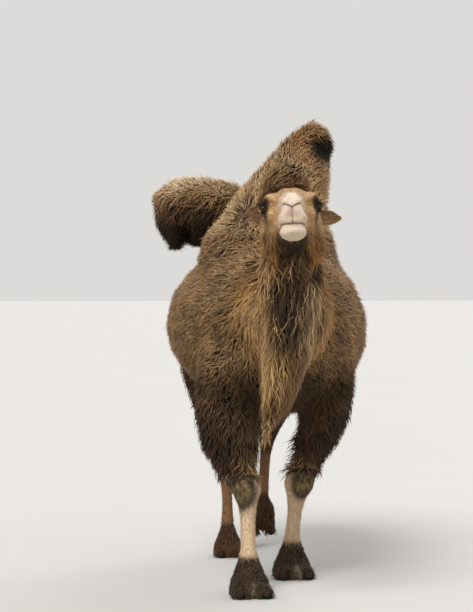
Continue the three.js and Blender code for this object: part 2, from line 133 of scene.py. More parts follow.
def write_attribute(mesh, name, values, kind):
    """Stores one value for each vertex: FLOAT, FLOAT_VECTOR or FLOAT_COLOR."""
    key, _ = ATTRIBUTE_KINDS[kind]
    if kind == "FLOAT_COLOR":
        values = np.concatenate([values, np.ones((len(values), 1))], 1)
    layer = mesh.attributes.get(name) or mesh.attributes.new(name, kind, "POINT")
    layer.data.foreach_set(key, np.ascontiguousarray(values, np.float32).ravel())


def read_attribute(mesh, name):
    """One value for each vertex, colours without their alpha."""
    layer = mesh.attributes[name]
    key, width = ATTRIBUTE_KINDS[layer.data_type]
    found = np.empty(len(layer.data) * width, np.float32)
    layer.data.foreach_get(key, found)
    return found.reshape(-1, width)[:, :3] if width > 1 else found


def deselect():
    if bpy.context.object and bpy.context.object.mode != "OBJECT":
        bpy.ops.object.mode_set(mode="OBJECT")
    bpy.ops.object.select_all(action="DESELECT")


@contextmanager
def all_in_edit_mode():
    """Edit mode with the whole mesh selected."""
    bpy.ops.object.mode_set(mode="EDIT")
    bpy.ops.mesh.select_all(action="SELECT")
    yield
    bpy.ops.object.mode_set(mode="OBJECT")


def apply_modifier(obj, kind, **settings):
    bpy.context.view_layer.objects.active = obj
    modifier = obj.modifiers.new(kind.title(), kind)
    for name, value in settings.items():
        setattr(modifier, name, value)
    bpy.ops.object.modifier_apply(modifier=modifier.name)


def rename(obj, name):
    obj.name = name
    obj.data.name = name


def finish_piece(obj, material, nodes=()):
    """The last steps of each piece: material, body and the hiding of the nodes that it stands for."""
    obj.data.materials.clear()
    obj.data.materials.append(material)
    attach(obj, "root")
    if nodes:
        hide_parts(*nodes)


# ---------------------------------------------------------------- the head's own frame

HEAD_PITCH = math.radians(15)
EYE_AT = (180 * MM, -8 * MM)  # how far in front of the poll and above it the eyes are
EYE_R = np.ptp(corners_of("eye_left"), axis=0).max() / 2


class HeadFrame:
    """x towards the camel's left, s forward from the poll along the face and z up from it."""

    def __init__(self):
        right, left = centre_of("eye_right"), centre_of("eye_left")
        self.x = unit(left - right)
        level = unit(np.cross(self.x, (0, 0, 1)))
        ahead = level * (-1 if level[1] > 0 else 1)
        nose = ahead * math.cos(HEAD_PITCH) + np.array([0, 0, math.sin(HEAD_PITCH)])
        self.s = unit(nose - self.x * (nose @ self.x))
        self.z = np.cross(self.s, self.x)
        self.half = np.linalg.norm(left - right) / 2
        self.poll = (left + right) / 2 - self.s * EYE_AT[0] - self.z * EYE_AT[1]

    def local(self, points):
        """Points in millimetres of the head's frame."""
        away = (points - self.poll) / MM
        return np.stack([away @ self.x, away @ self.s, away @ self.z], 1)


HEAD = HeadFrame()

# ---------------------------------------------------------------- regions of the coat


class Coat:
    """How the hair of one region grows.

    In millimetres: depth of the coat, length and width of a lock, and spacing of the roots. dark and light
    are the shades at root and tip. From 0 to 1: how far locks hang down, bend sideways and lean together.
    """

    def __init__(self, nodes, depth, length, width, spacing, dark, light, hang=0.15, curl=0.35, clump=0.45):
        self.nodes = nodes
        self.numbers = {
            "depth": depth * MM,
            "length": length * MM,
            "width": width * MM,
            "spacing": spacing * MM,
            "hang": hang,
            "curl": curl,
            "clump": clump,
        }
        self.dark, self.light = rgb(*dark), rgb(*light)


def pair(name):
    return [f"{name}_{side}" for side in SIDES]


COATS = {
    "trunk": Coat(["trunk"], 34, 50, 8.6, 9.1, (34, 23, 13), (200, 158, 110), hang=0.05, curl=0.65),
    "hump_front": Coat(["hump_front"], 34, 58, 8, 9, (52, 35, 19), (242, 202, 150), hang=0.05, curl=0.8),
    # the rear hump's top is pale wool, lightened further with painted light where the top is lit
    "hump_rear": Coat(["hump_rear"], 32, 42, 9, 9, (158, 122, 86), (255, 234, 200), hang=0.05, curl=0.6),
    "neck": Coat(["neck"], 36, 105, 12, 12.5, (40, 26, 13), (228, 172, 106), curl=0.5),
    "throat_fringe": Coat(["throat_fringe"], 44, 170, 11, 13, (30, 20, 10), (234, 186, 124), hang=0.5),
    "topknot": Coat(["topknot"], 34, 120, 9, 9.5, (17, 11, 6), (154, 114, 72), hang=0.2, clump=0.7),
    "foreleg": Coat(pair("foreleg"), 34, 80, 11.5, 12.5, (10, 7, 4), (78, 55, 34), hang=0.3),
    "thigh": Coat(pair("thigh"), 32, 75, 11.5, 13, (12, 8, 4), (92, 66, 40), hang=0.25),
    "forecannon": Coat(pair("forecannon"), 7, 16, 3, 6.8, (152, 122, 90), (230, 204, 172)),
    "hindcannon": Coat(pair("hindcannon"), 7, 16, 3, 6.8, (92, 64, 40), (160, 120, 82)),
    "forefoot": Coat(pair("forefoot"), 9, 34, 6, 8, (20, 14, 9), (104, 82, 58)),
    "hindfoot": Coat(pair("hindfoot"), 9, 34, 6, 8, (38, 25, 14), (128, 92, 58)),
    "head": Coat(["head", "lower_jaw"], 5, 17, 2.5, 4.9, (112, 80, 48), (226, 184, 130)),
    "ear": Coat(pair("ear"), 4, 30, 3.4, 5.2, (60, 40, 25), (184, 140, 98)),
    "tail": Coat(["tail"], 16, 110, 10, 9, (30, 20, 10), (130, 98, 60), hang=0.5),
}
BEARD = {"length": 85 * MM, "width": 9 * MM, "spacing": 9 * MM, "hang": 0.45, "depth": 14 * MM}
LIP_DEPTH = 2 * MM
REGION_NAMES = list(COATS)
COAT_NUMBERS = list(COATS["trunk"].numbers)
SHORT_HAIRED = ["forecannon", "hindcannon", "forefoot", "hindfoot", "head", "ear"]
FLESH = [node for coat in COATS.values() for node in coat.nodes]
NAILS = [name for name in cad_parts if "nail" in name]


class Skin:
    """The arrays of the skin mesh that its shaping works on."""

    def __init__(self, obj):
        self.mesh = obj.data
        self.points = read(self.mesh, "vertices", "co", 3).astype(float)
        self.edges = read(self.mesh, "edges", "vertices", 2, np.int32)
        self.counts = np.bincount(self.edges.ravel(), minlength=len(self.points))

    def store(self):
        self.mesh.vertices.foreach_set("co", self.points.astype(np.float32).ravel())
        self.mesh.update()

    def normals(self):
        self.store()
        return read(self.mesh, "vertices", "normal", 3).astype(float)

    def blurred(self, values, rounds):
        """Each vertex's value mixed with its neighbours' several times."""
        a, b = self.edges.T
        flat = values.reshape(len(values), -1).astype(float)
        for _ in range(rounds):
            total = np.empty_like(flat)
            for k in range(flat.shape[1]):
                total[:, k] = np.bincount(a, flat[b, k], len(flat)) + np.bincount(b, flat[a, k], len(flat))
            flat = 0.5 * flat + 0.5 * total / np.maximum(self.counts, 1)[:, None]
        return flat.reshape(values.shape)


def joined_solids(nodes, overlap):
    """One object of copies of CAD nodes, each a little fatter so that neighbours overlap."""
    deselect()
    for node in nodes:
        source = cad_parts[node]
        copy = bpy.data.objects.new("skin", source.data.copy())
        bpy.context.scene.collection.objects.link(copy)
        copy.select_set(True)
        bpy.context.view_layer.objects.active = copy
    with all_in_edit_mode():
        bpy.ops.mesh.remove_doubles(threshold=0.02 * MM)
        bpy.ops.transform.shrink_fatten(value=overlap)
    bpy.ops.object.join()
    return bpy.context.view_layer.objects.active


def regions_of(points):
    """The index of the coat region whose solid is nearest to each point."""
    corners, triangles, owner = [], [], []
    for index, coat in enumerate(COATS.values()):
        for node in coat.nodes:
            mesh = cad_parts[node].data
            start = len(corners)
            corners.extend(v.co for v in mesh.vertices)
            faces = [[start + i for i in p.vertices] for p in mesh.polygons]
            triangles.extend(faces)
            owner.extend([index] * len(faces))
    tree = BVHTree.FromPolygons(corners, triangles)
    return np.array([owner[tree.find_nearest(p)[2]] for p in points])


# ---------------------------------------------------------------- markings


def spot(points, centre, radii, soft=0.5):
    """1 inside an ellipsoid and 0 outside, with a soft rim."""
    away = np.linalg.norm((points - centre) / np.array(radii), axis=1)
    return 1 - ramp(away, 1 - soft, 1 + soft)


def beard_share(points):
    """1 where the long hair of the jaw and the back of the cheeks grows."""
    _, s, z = HEAD.local(points).T
    chin = ramp(z, -175, -205) * ramp(s, 425, 385)
    jaw = ramp(z + 0.22 * s, -58, -92) * ramp(s, 350, 300)
    return np.clip(chin + jaw, 0, 1)


def on_muzzle(points):
    """1 on the lips and nose, 0 on the rest of the head."""
    return ramp(HEAD.local(points)[:, 1], 330, 410)


def inside_left_foreleg(points, normals):
    """1 on the inner side of the left forearm, where the hair stands out furthest."""
    x, _, z = points.T
    return ramp(x, 0.0, 0.02) * ramp(-normals[:, 0], 0.0, 0.5) * ramp(z, 0.5, 0.6) * ramp(z, 1.0, 0.85)


def below_breast(points):
    """1 on the underside of the trunk between the forelegs, where hair hangs down."""
    x, y, z = points.T
    return ramp(z, 1.0, 0.9) * ramp(y, 0.3, 0.15) * ramp(np.abs(x - 0.03), 0.22, 0.14)


def knee_of(side):
    """The middle of the pad on the front of a fore knee."""
    low, high = corners_of(f"forecannon_{side}")
    front = {"right": -0.345, "left": -0.085}[side]
    outward = {"right": 0.0, "left": 0.012}[side]
    return np.array([(low[0] + high[0]) / 2 + outward, front, high[2] - 0.06])


class Markings:
    """The dark and the light shade of the coat at each point of the skin.

    Each method paints one part of the animal over what the ones before it left. A share says how strongly,
    and the two colours are those of the roots and the tips. Heights are metres above the floor.
    """

    def __init__(self, points, normals, where, colours):
        self.points, self.normals, self.where = points, normals, where
        self.muzzle_light = np.array(colours.muzzle)
        weights = np.stack([where[name] for name in REGION_NAMES], 1)
        dark = {name: coat.dark for name, coat in COATS.items()} | {"trunk": colours.wool_dark}
        light = {name: coat.light for name, coat in COATS.items()} | {"trunk": colours.wool_light}
        self.shades = {
            "dark": weights @ np.array([dark[name] for name in REGION_NAMES]),
            "light": weights @ np.array([light[name] for name in REGION_NAMES]),
        }
        self.patches = ripple(points, 0.10, 3)
        self.fine = ripple(points, 0.035, 4)
        self.trunk()
        self.humps()
        self.neck()
        self.topknot()
        self.legs()
        self.head()

    def paint(self, share, dark, light):
        """Brings both shades towards a colour where share is above 0."""
        for shade, colour in (("dark", dark), ("light", light)):
            self.shades[shade] = mix(self.shades[shade], rgb(*colour), share)

    def trunk(self):
        """Lighter over the shoulders and behind the neck, redder and darker low down, blotched all over."""
        _, y, z = self.points.T
        trunk = self.where["trunk"]
        high = trunk * ramp(z, 1.15, 1.6)
        self.paint(0.8 * high, (48, 33, 19), (212, 170, 122))
        low = trunk * ramp(z, 1.05, 0.8)
        self.paint(0.8 * low, (18, 12, 6), (108, 78, 48))
        brisket = trunk * ramp(z + 0.03 * self.patches, 1.10, 0.96) * ramp(y, 0.35, 0.1)
        self.paint(0.9 * brisket, (13, 8, 4), (80, 55, 33))
        blotch = (trunk + self.where["neck"]) * np.clip(0.5 * self.patches + 0.6 * self.fine, 0, 1)
        self.paint(0.55 * blotch, (24, 16, 8), (112, 84, 54))

    def humps(self):
        """The rear one pale above, with painted light on top, and hung with dark locks below; the front one
        with dark hair and painted shadow under its tip.
        """
        z = self.points[:, 2]
        rear, front = self.where["hump_rear"], self.where["hump_front"]
        hanging = rear * ramp(z + 0.02 * self.patches, 1.94, 1.88)
        self.paint(hanging, (18, 11, 6), (228, 180, 122))
        self.paint(hanging * ramp(z, 1.90, 1.84), (8, 5, 3), (124, 88, 54))
        self.paint(hanging * ramp(z, 1.86, 1.78), (6, 4, 2), (66, 45, 24))

        speckle = front * np.clip(1.5 * self.fine, 0, 1) * ramp(z, 1.7, 1.85)
        self.paint(0.75 * speckle, (18, 11, 6), (112, 78, 46))
        low, high = corners_of("hump_front")
        under_tip = np.array([high[0] - 0.092, low[1] + 0.16, high[2] - 0.17])
        red = front * spot(self.points, under_tip + np.array([-0.05, 0, 0.03]), (0.13, 0.22, 0.12), 0.4)
        self.paint(0.7 * red, (52, 32, 15), (206, 150, 92))
        # dark hair and a painted shadow in the pocket under the folded tip of the front hump
        hollow = front * spot(self.points, under_tip, (0.085, 0.2, 0.085), 0.25)
        self.paint(hollow, (5, 3, 2), (40, 27, 14))

    def neck(self):
        """A chocolate stripe down the front between orange-brown sides, and the ends of the fringe."""
        x, y, z = self.points.T
        fringe = self.where["throat_fringe"]
        neck = self.where["neck"] + fringe
        middle = HEAD.poll[0] + 0.025 - 0.05 * ramp(z, 1.15, 1.0) - 0.10 * ramp(z, 1.0, 0.8)
        off = np.abs(x - middle)
        stripe = neck * ramp(off + 0.02 * self.patches, 0.125, 0.075) * ramp(y, -0.45, -0.7)
        sides = neck * ramp(off, 0.07, 0.12) * ramp(y, -0.3, -0.7)
        self.paint(0.85 * sides, (70, 47, 25), (236, 190, 132))
        self.paint(0.95 * stripe * ramp(z, 1.15, 1.3), (9, 6, 3), (58, 40, 23))
        edge = fringe * ramp(self.normals[:, 0], 0.15, 0.6)
        self.paint(0.9 * edge, (84, 57, 31), (248, 210, 158))
        tips = fringe * ramp(z, 0.95, 0.78)
        self.paint(0.6 * tips, (36, 23, 12), (226, 182, 128))
        core = ramp(off + 0.02 * self.fine, 0.08, 0.04)
        mottled = fringe * core * ramp(z, 0.84, 0.96) * ramp(z, 1.3, 1.2)
        self.paint(0.85 * mottled, (12, 8, 4), (138, 98, 56))

        # golden hair frames the left side of the head, and painted shadow darkens the neck beside the right
        # cheek
        left = ramp(x, HEAD.poll[0] + 0.10, HEAD.poll[0] + 0.15)
        golden = (self.where["neck"] + 0.6 * self.where["hump_front"]) * left
        self.paint(0.8 * golden * ramp(z, 1.45, 1.55) * ramp(z, 1.96, 1.88), (110, 76, 42), (246, 200, 136))
        cheek_at = (HEAD.poll[0] - 0.155, HEAD.poll[1] - 0.2, 1.6)
        # painted shadow between the right cheek and the hair of the neck
        shadow_beside_cheek = self.where["neck"] * spot(self.points, cheek_at, (0.05, 0.4, 0.22), 0.4)
        self.paint(0.85 * shadow_beside_cheek, (14, 9, 5), (96, 66, 38))

    def topknot(self):
        """Nearly black in the middle and golden at its left side, with painted shadow low down and paler
        hair with painted light along its top.
        """
        x, _, z = self.points.T
        topknot = self.where["topknot"]
        golden = topknot * ramp(x, HEAD.poll[0] + 0.05, HEAD.poll[0] + 0.11)
        self.paint(0.85 * golden, (110, 72, 36), (236, 184, 118))
        # painted shadow darkens the lower part of the topknot
        self.paint(0.8 * topknot * ramp(z + 0.02 * self.fine, 1.90, 1.85), (11, 7, 4), (104, 73, 43))
        # paler hair with painted sky light along the top of the topknot
        rim = topknot * ramp(z + 0.015 * self.fine, 1.925, 1.975)
        self.paint(0.75 * rim, (66, 44, 25), (222, 178, 128))

    def legs(self):
        """Light cuffs above the knees, bare mottled pads on them, and cannons that shade into dark feet."""
        x, y, z = self.points.T
        fronts = self.normals[:, 1]
        for side, m in SIDES.items():
            top = corners_of(f"forecannon_{side}")[1][2]
            cuff = ramp(z, top + 0.17, top + 0.06) * ramp(z, 0.42, 0.5)
            inner = {"right": ramp(x, -0.23, -0.18), "left": ramp(x, 0.22, 0.17)}[side]
            this_leg = (np.sign(x) == m) * ramp(y, 0.5, 0.3)
            self.paint(cuff * inner * this_leg * self.where["foreleg"], (46, 32, 18), (170, 134, 92))
            knee = knee_of(side)
            ring = spot(self.points, knee, (0.078, 0.08, 0.098), 0.3) * ramp(fronts, 0.3, -0.2)
            self.paint(ring, (9, 6, 3), (42, 30, 17))
            pad = spot(self.points, knee, (0.056, 0.07, 0.066), 0.25) * ramp(fronts, 0.1, -0.35)
            self.paint(pad, (42, 33, 19), (158, 136, 96))
            mottle = np.clip(0.4 + 1.2 * ripple(self.points, 0.016, 5), 0, 1)
            self.paint(0.75 * pad * mottle, (16, 11, 6), (84, 68, 44))

        self.paint(self.where["hindcannon"] * ramp(z, 0.46, 0.56), (13, 8, 4), (86, 60, 36))
        dusk = (self.where["forecannon"] + self.where["hindcannon"]) * ramp(z, 0.2, 0.15)
        self.paint(0.7 * dusk, (44, 32, 17), (130, 100, 62))
        for side in SIDES:
            low, high = corners_of(f"forefoot_{side}")
            cleft = np.array([(low[0] + high[0]) / 2 + 0.01, low[1] + 0.02, 0.055])
            dust = self.where["forefoot"] * spot(self.points, cleft, (0.022, 0.05, 0.026), 0.4)
            self.paint(0.8 * dust, (96, 80, 62), (206, 190, 166))

    def head(self):
        """Pale muzzle, painted shade round the eyes, under the nostrils and under the lower lip, brown
        cheeks and chin hair. Places are in the head's frame.
        """
        local = HEAD.local(self.points)
        x, s, z = local.T
        on_head = self.where["head"]
        forehead = on_head * ramp(s, 40, 120) * ramp(z, -10, 30)
        self.paint(forehead, (120, 88, 58), (228, 190, 144))
        cheek = on_head * ramp(z, -30, -90) * ramp(s, 330, 240)
        self.paint(cheek, (130, 92, 56), (232, 188, 134))
        flesh = on_head * ramp(s, 240, 330)
        self.paint(flesh, (182, 146, 110), (236, 202, 162))
        bridge = on_head * ramp(s, 230, 300) * ramp(z, -70, -20) * ramp(np.abs(x), 62, 34)
        self.paint(bridge, (190, 168, 146), (230, 212, 194))
        narrowing = 0.12 * (z + 60)
        muzzle = on_head * ramp(s, 330, 405) * ramp(np.abs(x), 74 - narrowing, 46 - narrowing)
        self.shades["dark"] = mix(self.shades["dark"], rgb(176, 154, 134), muzzle)
        self.shades["light"] = mix(self.shades["light"], self.muzzle_light, muzzle)
        # painted shade under the nostrils, on the upper lip
        lip = muzzle * spot(local, (0, 470, -128), (34, 80, 36), 0.7)
        self.paint(0.7 * lip, (128, 104, 88), (188, 162, 144))
        # painted shadow under the lower lip
        under_mouth = muzzle * spot(local, (0, 440, -178), (38, 90, 9), 0.7)
        self.paint(0.6 * under_mouth, (104, 90, 72), (172, 156, 132))
        at_mouth = spot(local, (0, 440, -154), (60, 90, 6), 0.6)
        at_chin = spot(local, (0, 440, -214), (34, 90, 13), 0.6)
        stain = muzzle * np.clip(at_mouth + at_chin, 0, 1)
        self.paint(0.4 * stain, (138, 126, 58), (202, 192, 116))
        beard = on_head * beard_share(self.points)
        self.paint(beard, (26, 17, 9), (204, 148, 84))
        self.paint(beard * ramp(np.abs(x), 90, 52), (8, 5, 3), (66, 45, 25))
        for m in SIDES.values():
            eye = np.array([m * HEAD.half / MM, *EYE_AT / np.array(MM)])
            away = local - eye
            # painted shade round each eye: the brow's shadow above, a darker hollow below and a streak down
            # the cheek
            above = spot(away, (-m * 6, 0, 16), (24, 90, 30), 0.35)
            below = spot(away, (-m * 4, 20, -16), (20, 90, 26), 0.4)
            streak = spot(away, (-m * 2, 34, -78), (15, 110, 62), 0.6)
            painted_shade_round_eye = np.clip(above + 0.9 * below + 0.8 * streak, 0, 1)
            self.paint(on_head * painted_shade_round_eye, (20, 13, 9), (62, 42, 27))


# ---------------------------------------------------------------- the lie of the coat


def lie_of_coat(points, normals, where):
    """The direction in which the hair lies at each point of the skin."""
    x, y, z = points.T
    nx, ny, nz = normals.T
    poll_x, poll_y = HEAD.poll[:2]
    down = rows(0.15 * nx, 0.1, -1)
    level = 0.4 * np.clip(nz, 0, 1)
    back = rows(0.5 * nx, 0.45 + level, -0.95 + level)

    # up the front hump and over its folded tip, whose hair falls again
    climbing = rows(0.42 + 0.5 * ramp(z, 1.95, 2.08), -0.1, 0.9 - 1.3 * ramp(z, 2.0, 2.12))
    climbing = mix(climbing, rows(0.1, 0, -1), ramp(x, 0.24, 0.30))
    climb = ramp(z, 1.66, 1.92)
    hump_front = mix(down, climbing, climb) + rows(0.8, 1, 0) * np.sin(math.pi * climb)[:, None]

    # outward over the crown of the rear hump, then straight down
    outward = ramp(z, 1.74, 1.86) * ramp(nz, -0.2, 0.3)
    hump_rear = mix(rows(-0.12, 0, -1), rows(-1, 0.1 * ny, -0.35), outward)

    throat_fringe = rows(0.25 * nx - 0.55 * ramp(z, 1.15, 0.75), 0.1 * ny, -1)
    fall = ramp(x, poll_x - 0.02, poll_x - 0.11)
    swept = rows(-0.85 + 0.55 * fall, -0.25, -0.36 - 0.5 * fall)
    topknot = mix(swept, rows(-0.3, 0.8, -0.7), ramp(y, poll_y - 0.02, poll_y + 0.10))
    hx, _, hz = HEAD.local(points).T
    face = -HEAD.s * 0.9 + HEAD.z * 0.1
    jaw = -HEAD.s * 0.6 - HEAD.z * 0.6
    foot = rows(0.3 * nx, -0.35, -1)
    flows = {
        "trunk": back,
        "hump_front": hump_front,
        "hump_rear": hump_rear,
        "throat_fringe": throat_fringe,
        "topknot": topknot,
        "head": mix(face, jaw, ramp(hz, -60, -150)[:, None]),
        "ear": np.sign(hx)[:, None] * HEAD.x - 0.2 * HEAD.s,
        "forefoot": foot,
        "hindfoot": foot,
    }
    total = sum(where[name][:, None] * unit(flows.get(name, down)) for name in REGION_NAMES)
    sway = np.stack([ripple(points, 0.12, seed) for seed in (11, 12, 13)], 1)
    total = total + 0.28 * sway * (1 - where["head"] - where["ear"])[:, None]
    return unit(total - normals * np.sum(total * normals, 1, keepdims=True))


# ---------------------------------------------------------------- sculpting the head and feet

# The opening of the lids, in millimetres over the eyeball from the middle of its gaze.
LID_CORNER = 19
LID_TOP = 9.6
LID_BOTTOM = 9.0
LID_REACH = 46 * MM  # how far from the middle of an eye the lids shape the skin
LID_OUTSIDE = EYE_R + 3.2 * MM
TUCKED_IN = EYE_R - 3.5 * MM  # where the skin runs on, out of sight inside the eyeball
CLEAR_OF_EYE = EYE_R + 2 * MM

# Places in the head's frame, in millimetres.
NOSTRIL = [(2, -100), (14, -95), (30, -88), (48, -83)]  # x, z on the left side
NOSTRIL_FROM = (440, 405)  # s at which the slits are whole, and at which they have ended
MOUTH_CORNER = (318, 352)  # s where the mouth line begins, and where it is at its full depth
TEMPLE = (88, 122, 52)


def nearest_on(path, points):
    """Distance of each point from a broken line, and how far along it the nearest place is, from 0 to 1."""
    best = np.full(len(points), 1e9)
    along = np.zeros(len(points))
    steps = len(path) - 1
    for k in range(steps):
        a, b = np.array(path[k], float), np.array(path[k + 1], float)
        share = np.clip((points - a) @ (b - a) / ((b - a) @ (b - a)), 0, 1)
        away = np.linalg.norm(points - a - share[:, None] * (b - a), axis=1)
        nearer = away < best
        best[nearer] = away[nearer]
        along[nearer] = (k + share[nearer]) / steps
    return best, along


def eye_axes(m):
    """Outward, forward along the lids and upward directions of an eye. m is its sign of x."""
    outward = unit(m * 0.64 * HEAD.x + 0.76 * HEAD.s + 0.06 * HEAD.z)
    up = unit(HEAD.z - outward * (HEAD.z @ outward))
    return outward, np.cross(up, outward) * m, up


def open_lids(points):
    """Wraps the skin round each eyeball and leaves an almond-shaped opening."""
    for side, m in SIDES.items():
        middle = centre_of(f"eye_{side}")
        outward, ahead, up = eye_axes(m)
        away = points - middle
        distance = np.linalg.norm(away, axis=1)
        near = np.nonzero((distance < LID_REACH) & (away @ outward > -0.2 * distance))[0]
        ray = away[near] / distance[near, None]
        along = np.arctan2(ray @ ahead, ray @ outward) * EYE_R / MM
        across = np.arcsin(np.clip(ray @ up, -1, 1)) * EYE_R / MM
        half = np.where(across > 0, LID_TOP, LID_BOTTOM) * (1 - np.clip(along / LID_CORNER, -1, 1) ** 2)
        past_corner = np.hypot(np.abs(along) - LID_CORNER, across)
        outside = np.where(np.abs(along) < LID_CORNER, np.abs(across) - half, past_corner)
        rim = TUCKED_IN + (LID_OUTSIDE - TUCKED_IN) * ramp(outside, -1.0, 2.2)
        crease = -1.6 * MM * bell(outside, 8, 2.2) * (across > 0)
        blend = ramp(outside, 5, 22)
        lid = (rim + crease) * (1 - blend) + distance[near] * blend
        thinnest = rim * (1 - blend) + 0.9 * distance[near] * blend
        target = np.where(outside < 2, rim, np.maximum(lid, thinnest))
        target = np.where(outside > 2, np.maximum(target, CLEAR_OF_EYE), target)
        points[near] = middle + ray * target[:, None]
    return points


def carve_head(skin, where):
    """Nostril slits, the split of the upper lip, the mouth line and the hollow above the eyes.

    Gives back how much painted shade darkens the slits, the split of the lip and the mouth line at each
    point.
    """
    normals = skin.normals()
    local = HEAD.local(skin.points)
    x, s, z = local.T
    side = np.stack([np.abs(x), s, z], 1)
    front = side[:, [0, 2]]
    behind_nose = 40 * ramp(s, *NOSTRIL_FROM)
    slit, along = nearest_on(NOSTRIL, front)
    slit = slit + behind_nose
    wing = nearest_on([(px, pz + 12) for px, pz in NOSTRIL], front)[0] + behind_nose
    split = np.abs(x) / 3.2 + ramp(s, 460, 430) * 9 + ramp(z, -100, -92) * 9 + ramp(z, -168, -176) * 9
    line = -144 - 0.149 * (s - 312)
    mouth = ramp(s, *MOUTH_CORNER)

    push = np.zeros(len(local))
    push -= 6 * bell(slit, 0, 3.0) * (0.55 + 0.45 * np.sin(np.pi * along))
    push += 3.0 * bell(wing, 0, 8.0)
    push -= 5 * bell(split, 0, 1)
    push -= 8 * bell(z, line, 3.6) * mouth
    push += 2.5 * (bell(z - line, 13, 9) * ramp(s, 400, 450))
    push -= 7 * spot(side, TEMPLE, (26, 34, 20), 0.6)
    head = np.clip(where["head"] * 1.5, 0, 1)
    skin.points += normals * (push * MM * head)[:, None]
    slim = 0.26 * ramp(z, -150, -95) * ramp(s, 250, 350) * head
    skin.points -= HEAD.x * (x * slim * MM)[:, None]
    # painted shade in the nostril slits, along the mouth line and in the split of the upper lip
    dark = 0.9 * bell(slit, 0, 2.8) + 0.7 * bell(z, line, 3.2) * mouth + 0.45 * bell(split, 0, 1)
    return np.clip(dark, 0, 1) * head


def carve_feet(skin, where):
    """Soft folds round the feet."""
    z = skin.points[:, 2]
    normals = skin.normals()
    feet = where["forefoot"] + where["hindfoot"]
    waves = np.sin(z / (9 * MM) + 1.5 * ripple(skin.points, 0.05, 21))
    folds = waves * ramp(z, 0.15, 0.05) * ramp(z, 0.008, 0.03)
    skin.points += normals * (1.4 * MM * folds * feet)[:, None]


# ---------------------------------------------------------------- operators: skin


def region_weights(skin):
    """How much each region counts at each vertex. Neighbouring regions run into each other."""
    owner = regions_of(skin.points)
    weights = np.zeros((len(owner), len(REGION_NAMES)))
    weights[np.arange(len(owner)), owner] = 1
    weights = skin.blurred(weights, 4)
    return {name: weights[:, k] for k, name in enumerate(REGION_NAMES)}


def settle(skin, hull, depth, shaggy):
    """Sinks the skin in small steps, straight away from the hull, until it lies at the coat's depth."""
    longest = 9 * MM
    for _ in range(9):
        found = [hull.find_nearest(p) for p in skin.points]
        inward = skin.points - np.array([f[0] for f in found])
        inside = np.linalg.norm(inward, axis=1)
        facing = np.where(np.sum(inward * np.array([f[1] for f in found]), 1) > 0, -1.0, 1.0)
        inward = inward / np.maximum(inside, 0.1 * MM)[:, None] * facing[:, None]
        step = np.clip(depth - inside * facing, -longest, longest)
        skin.points += skin.blurred(inward * step[:, None], 3)
        skin.points += (0.5 * shaggy)[:, None] * (skin.blurred(skin.points, 2) - skin.points)


def split_faces(mesh, keep):
    """Splits into four each face of the active object whose middle passes the test."""
    deselect()
    centres = read(mesh, "polygons", "center", 3)
    bpy.ops.object.mode_set(mode="EDIT")
    bpy.ops.mesh.select_all(action="DESELECT")
    bpy.ops.object.mode_set(mode="OBJECT")
    mesh.polygons.foreach_set("select", keep(centres))
    bpy.ops.object.mode_set(mode="EDIT")
    bpy.ops.mesh.select_mode(type="FACE")
    bpy.ops.mesh.subdivide(number_cuts=1, smoothness=0)
    bpy.ops.object.mode_set(mode="OBJECT")


def near_eyes(radius):
    middles = [centre_of(f"eye_{side}") for side in SIDES]
    return lambda points: np.any([np.linalg.norm(points - e, axis=1) < radius for e in middles], axis=0)


def near_mouth(points):
    x, s, z = HEAD.local(points).T
    return (s > 395) & (z < 10) & (np.abs(x) < 90)


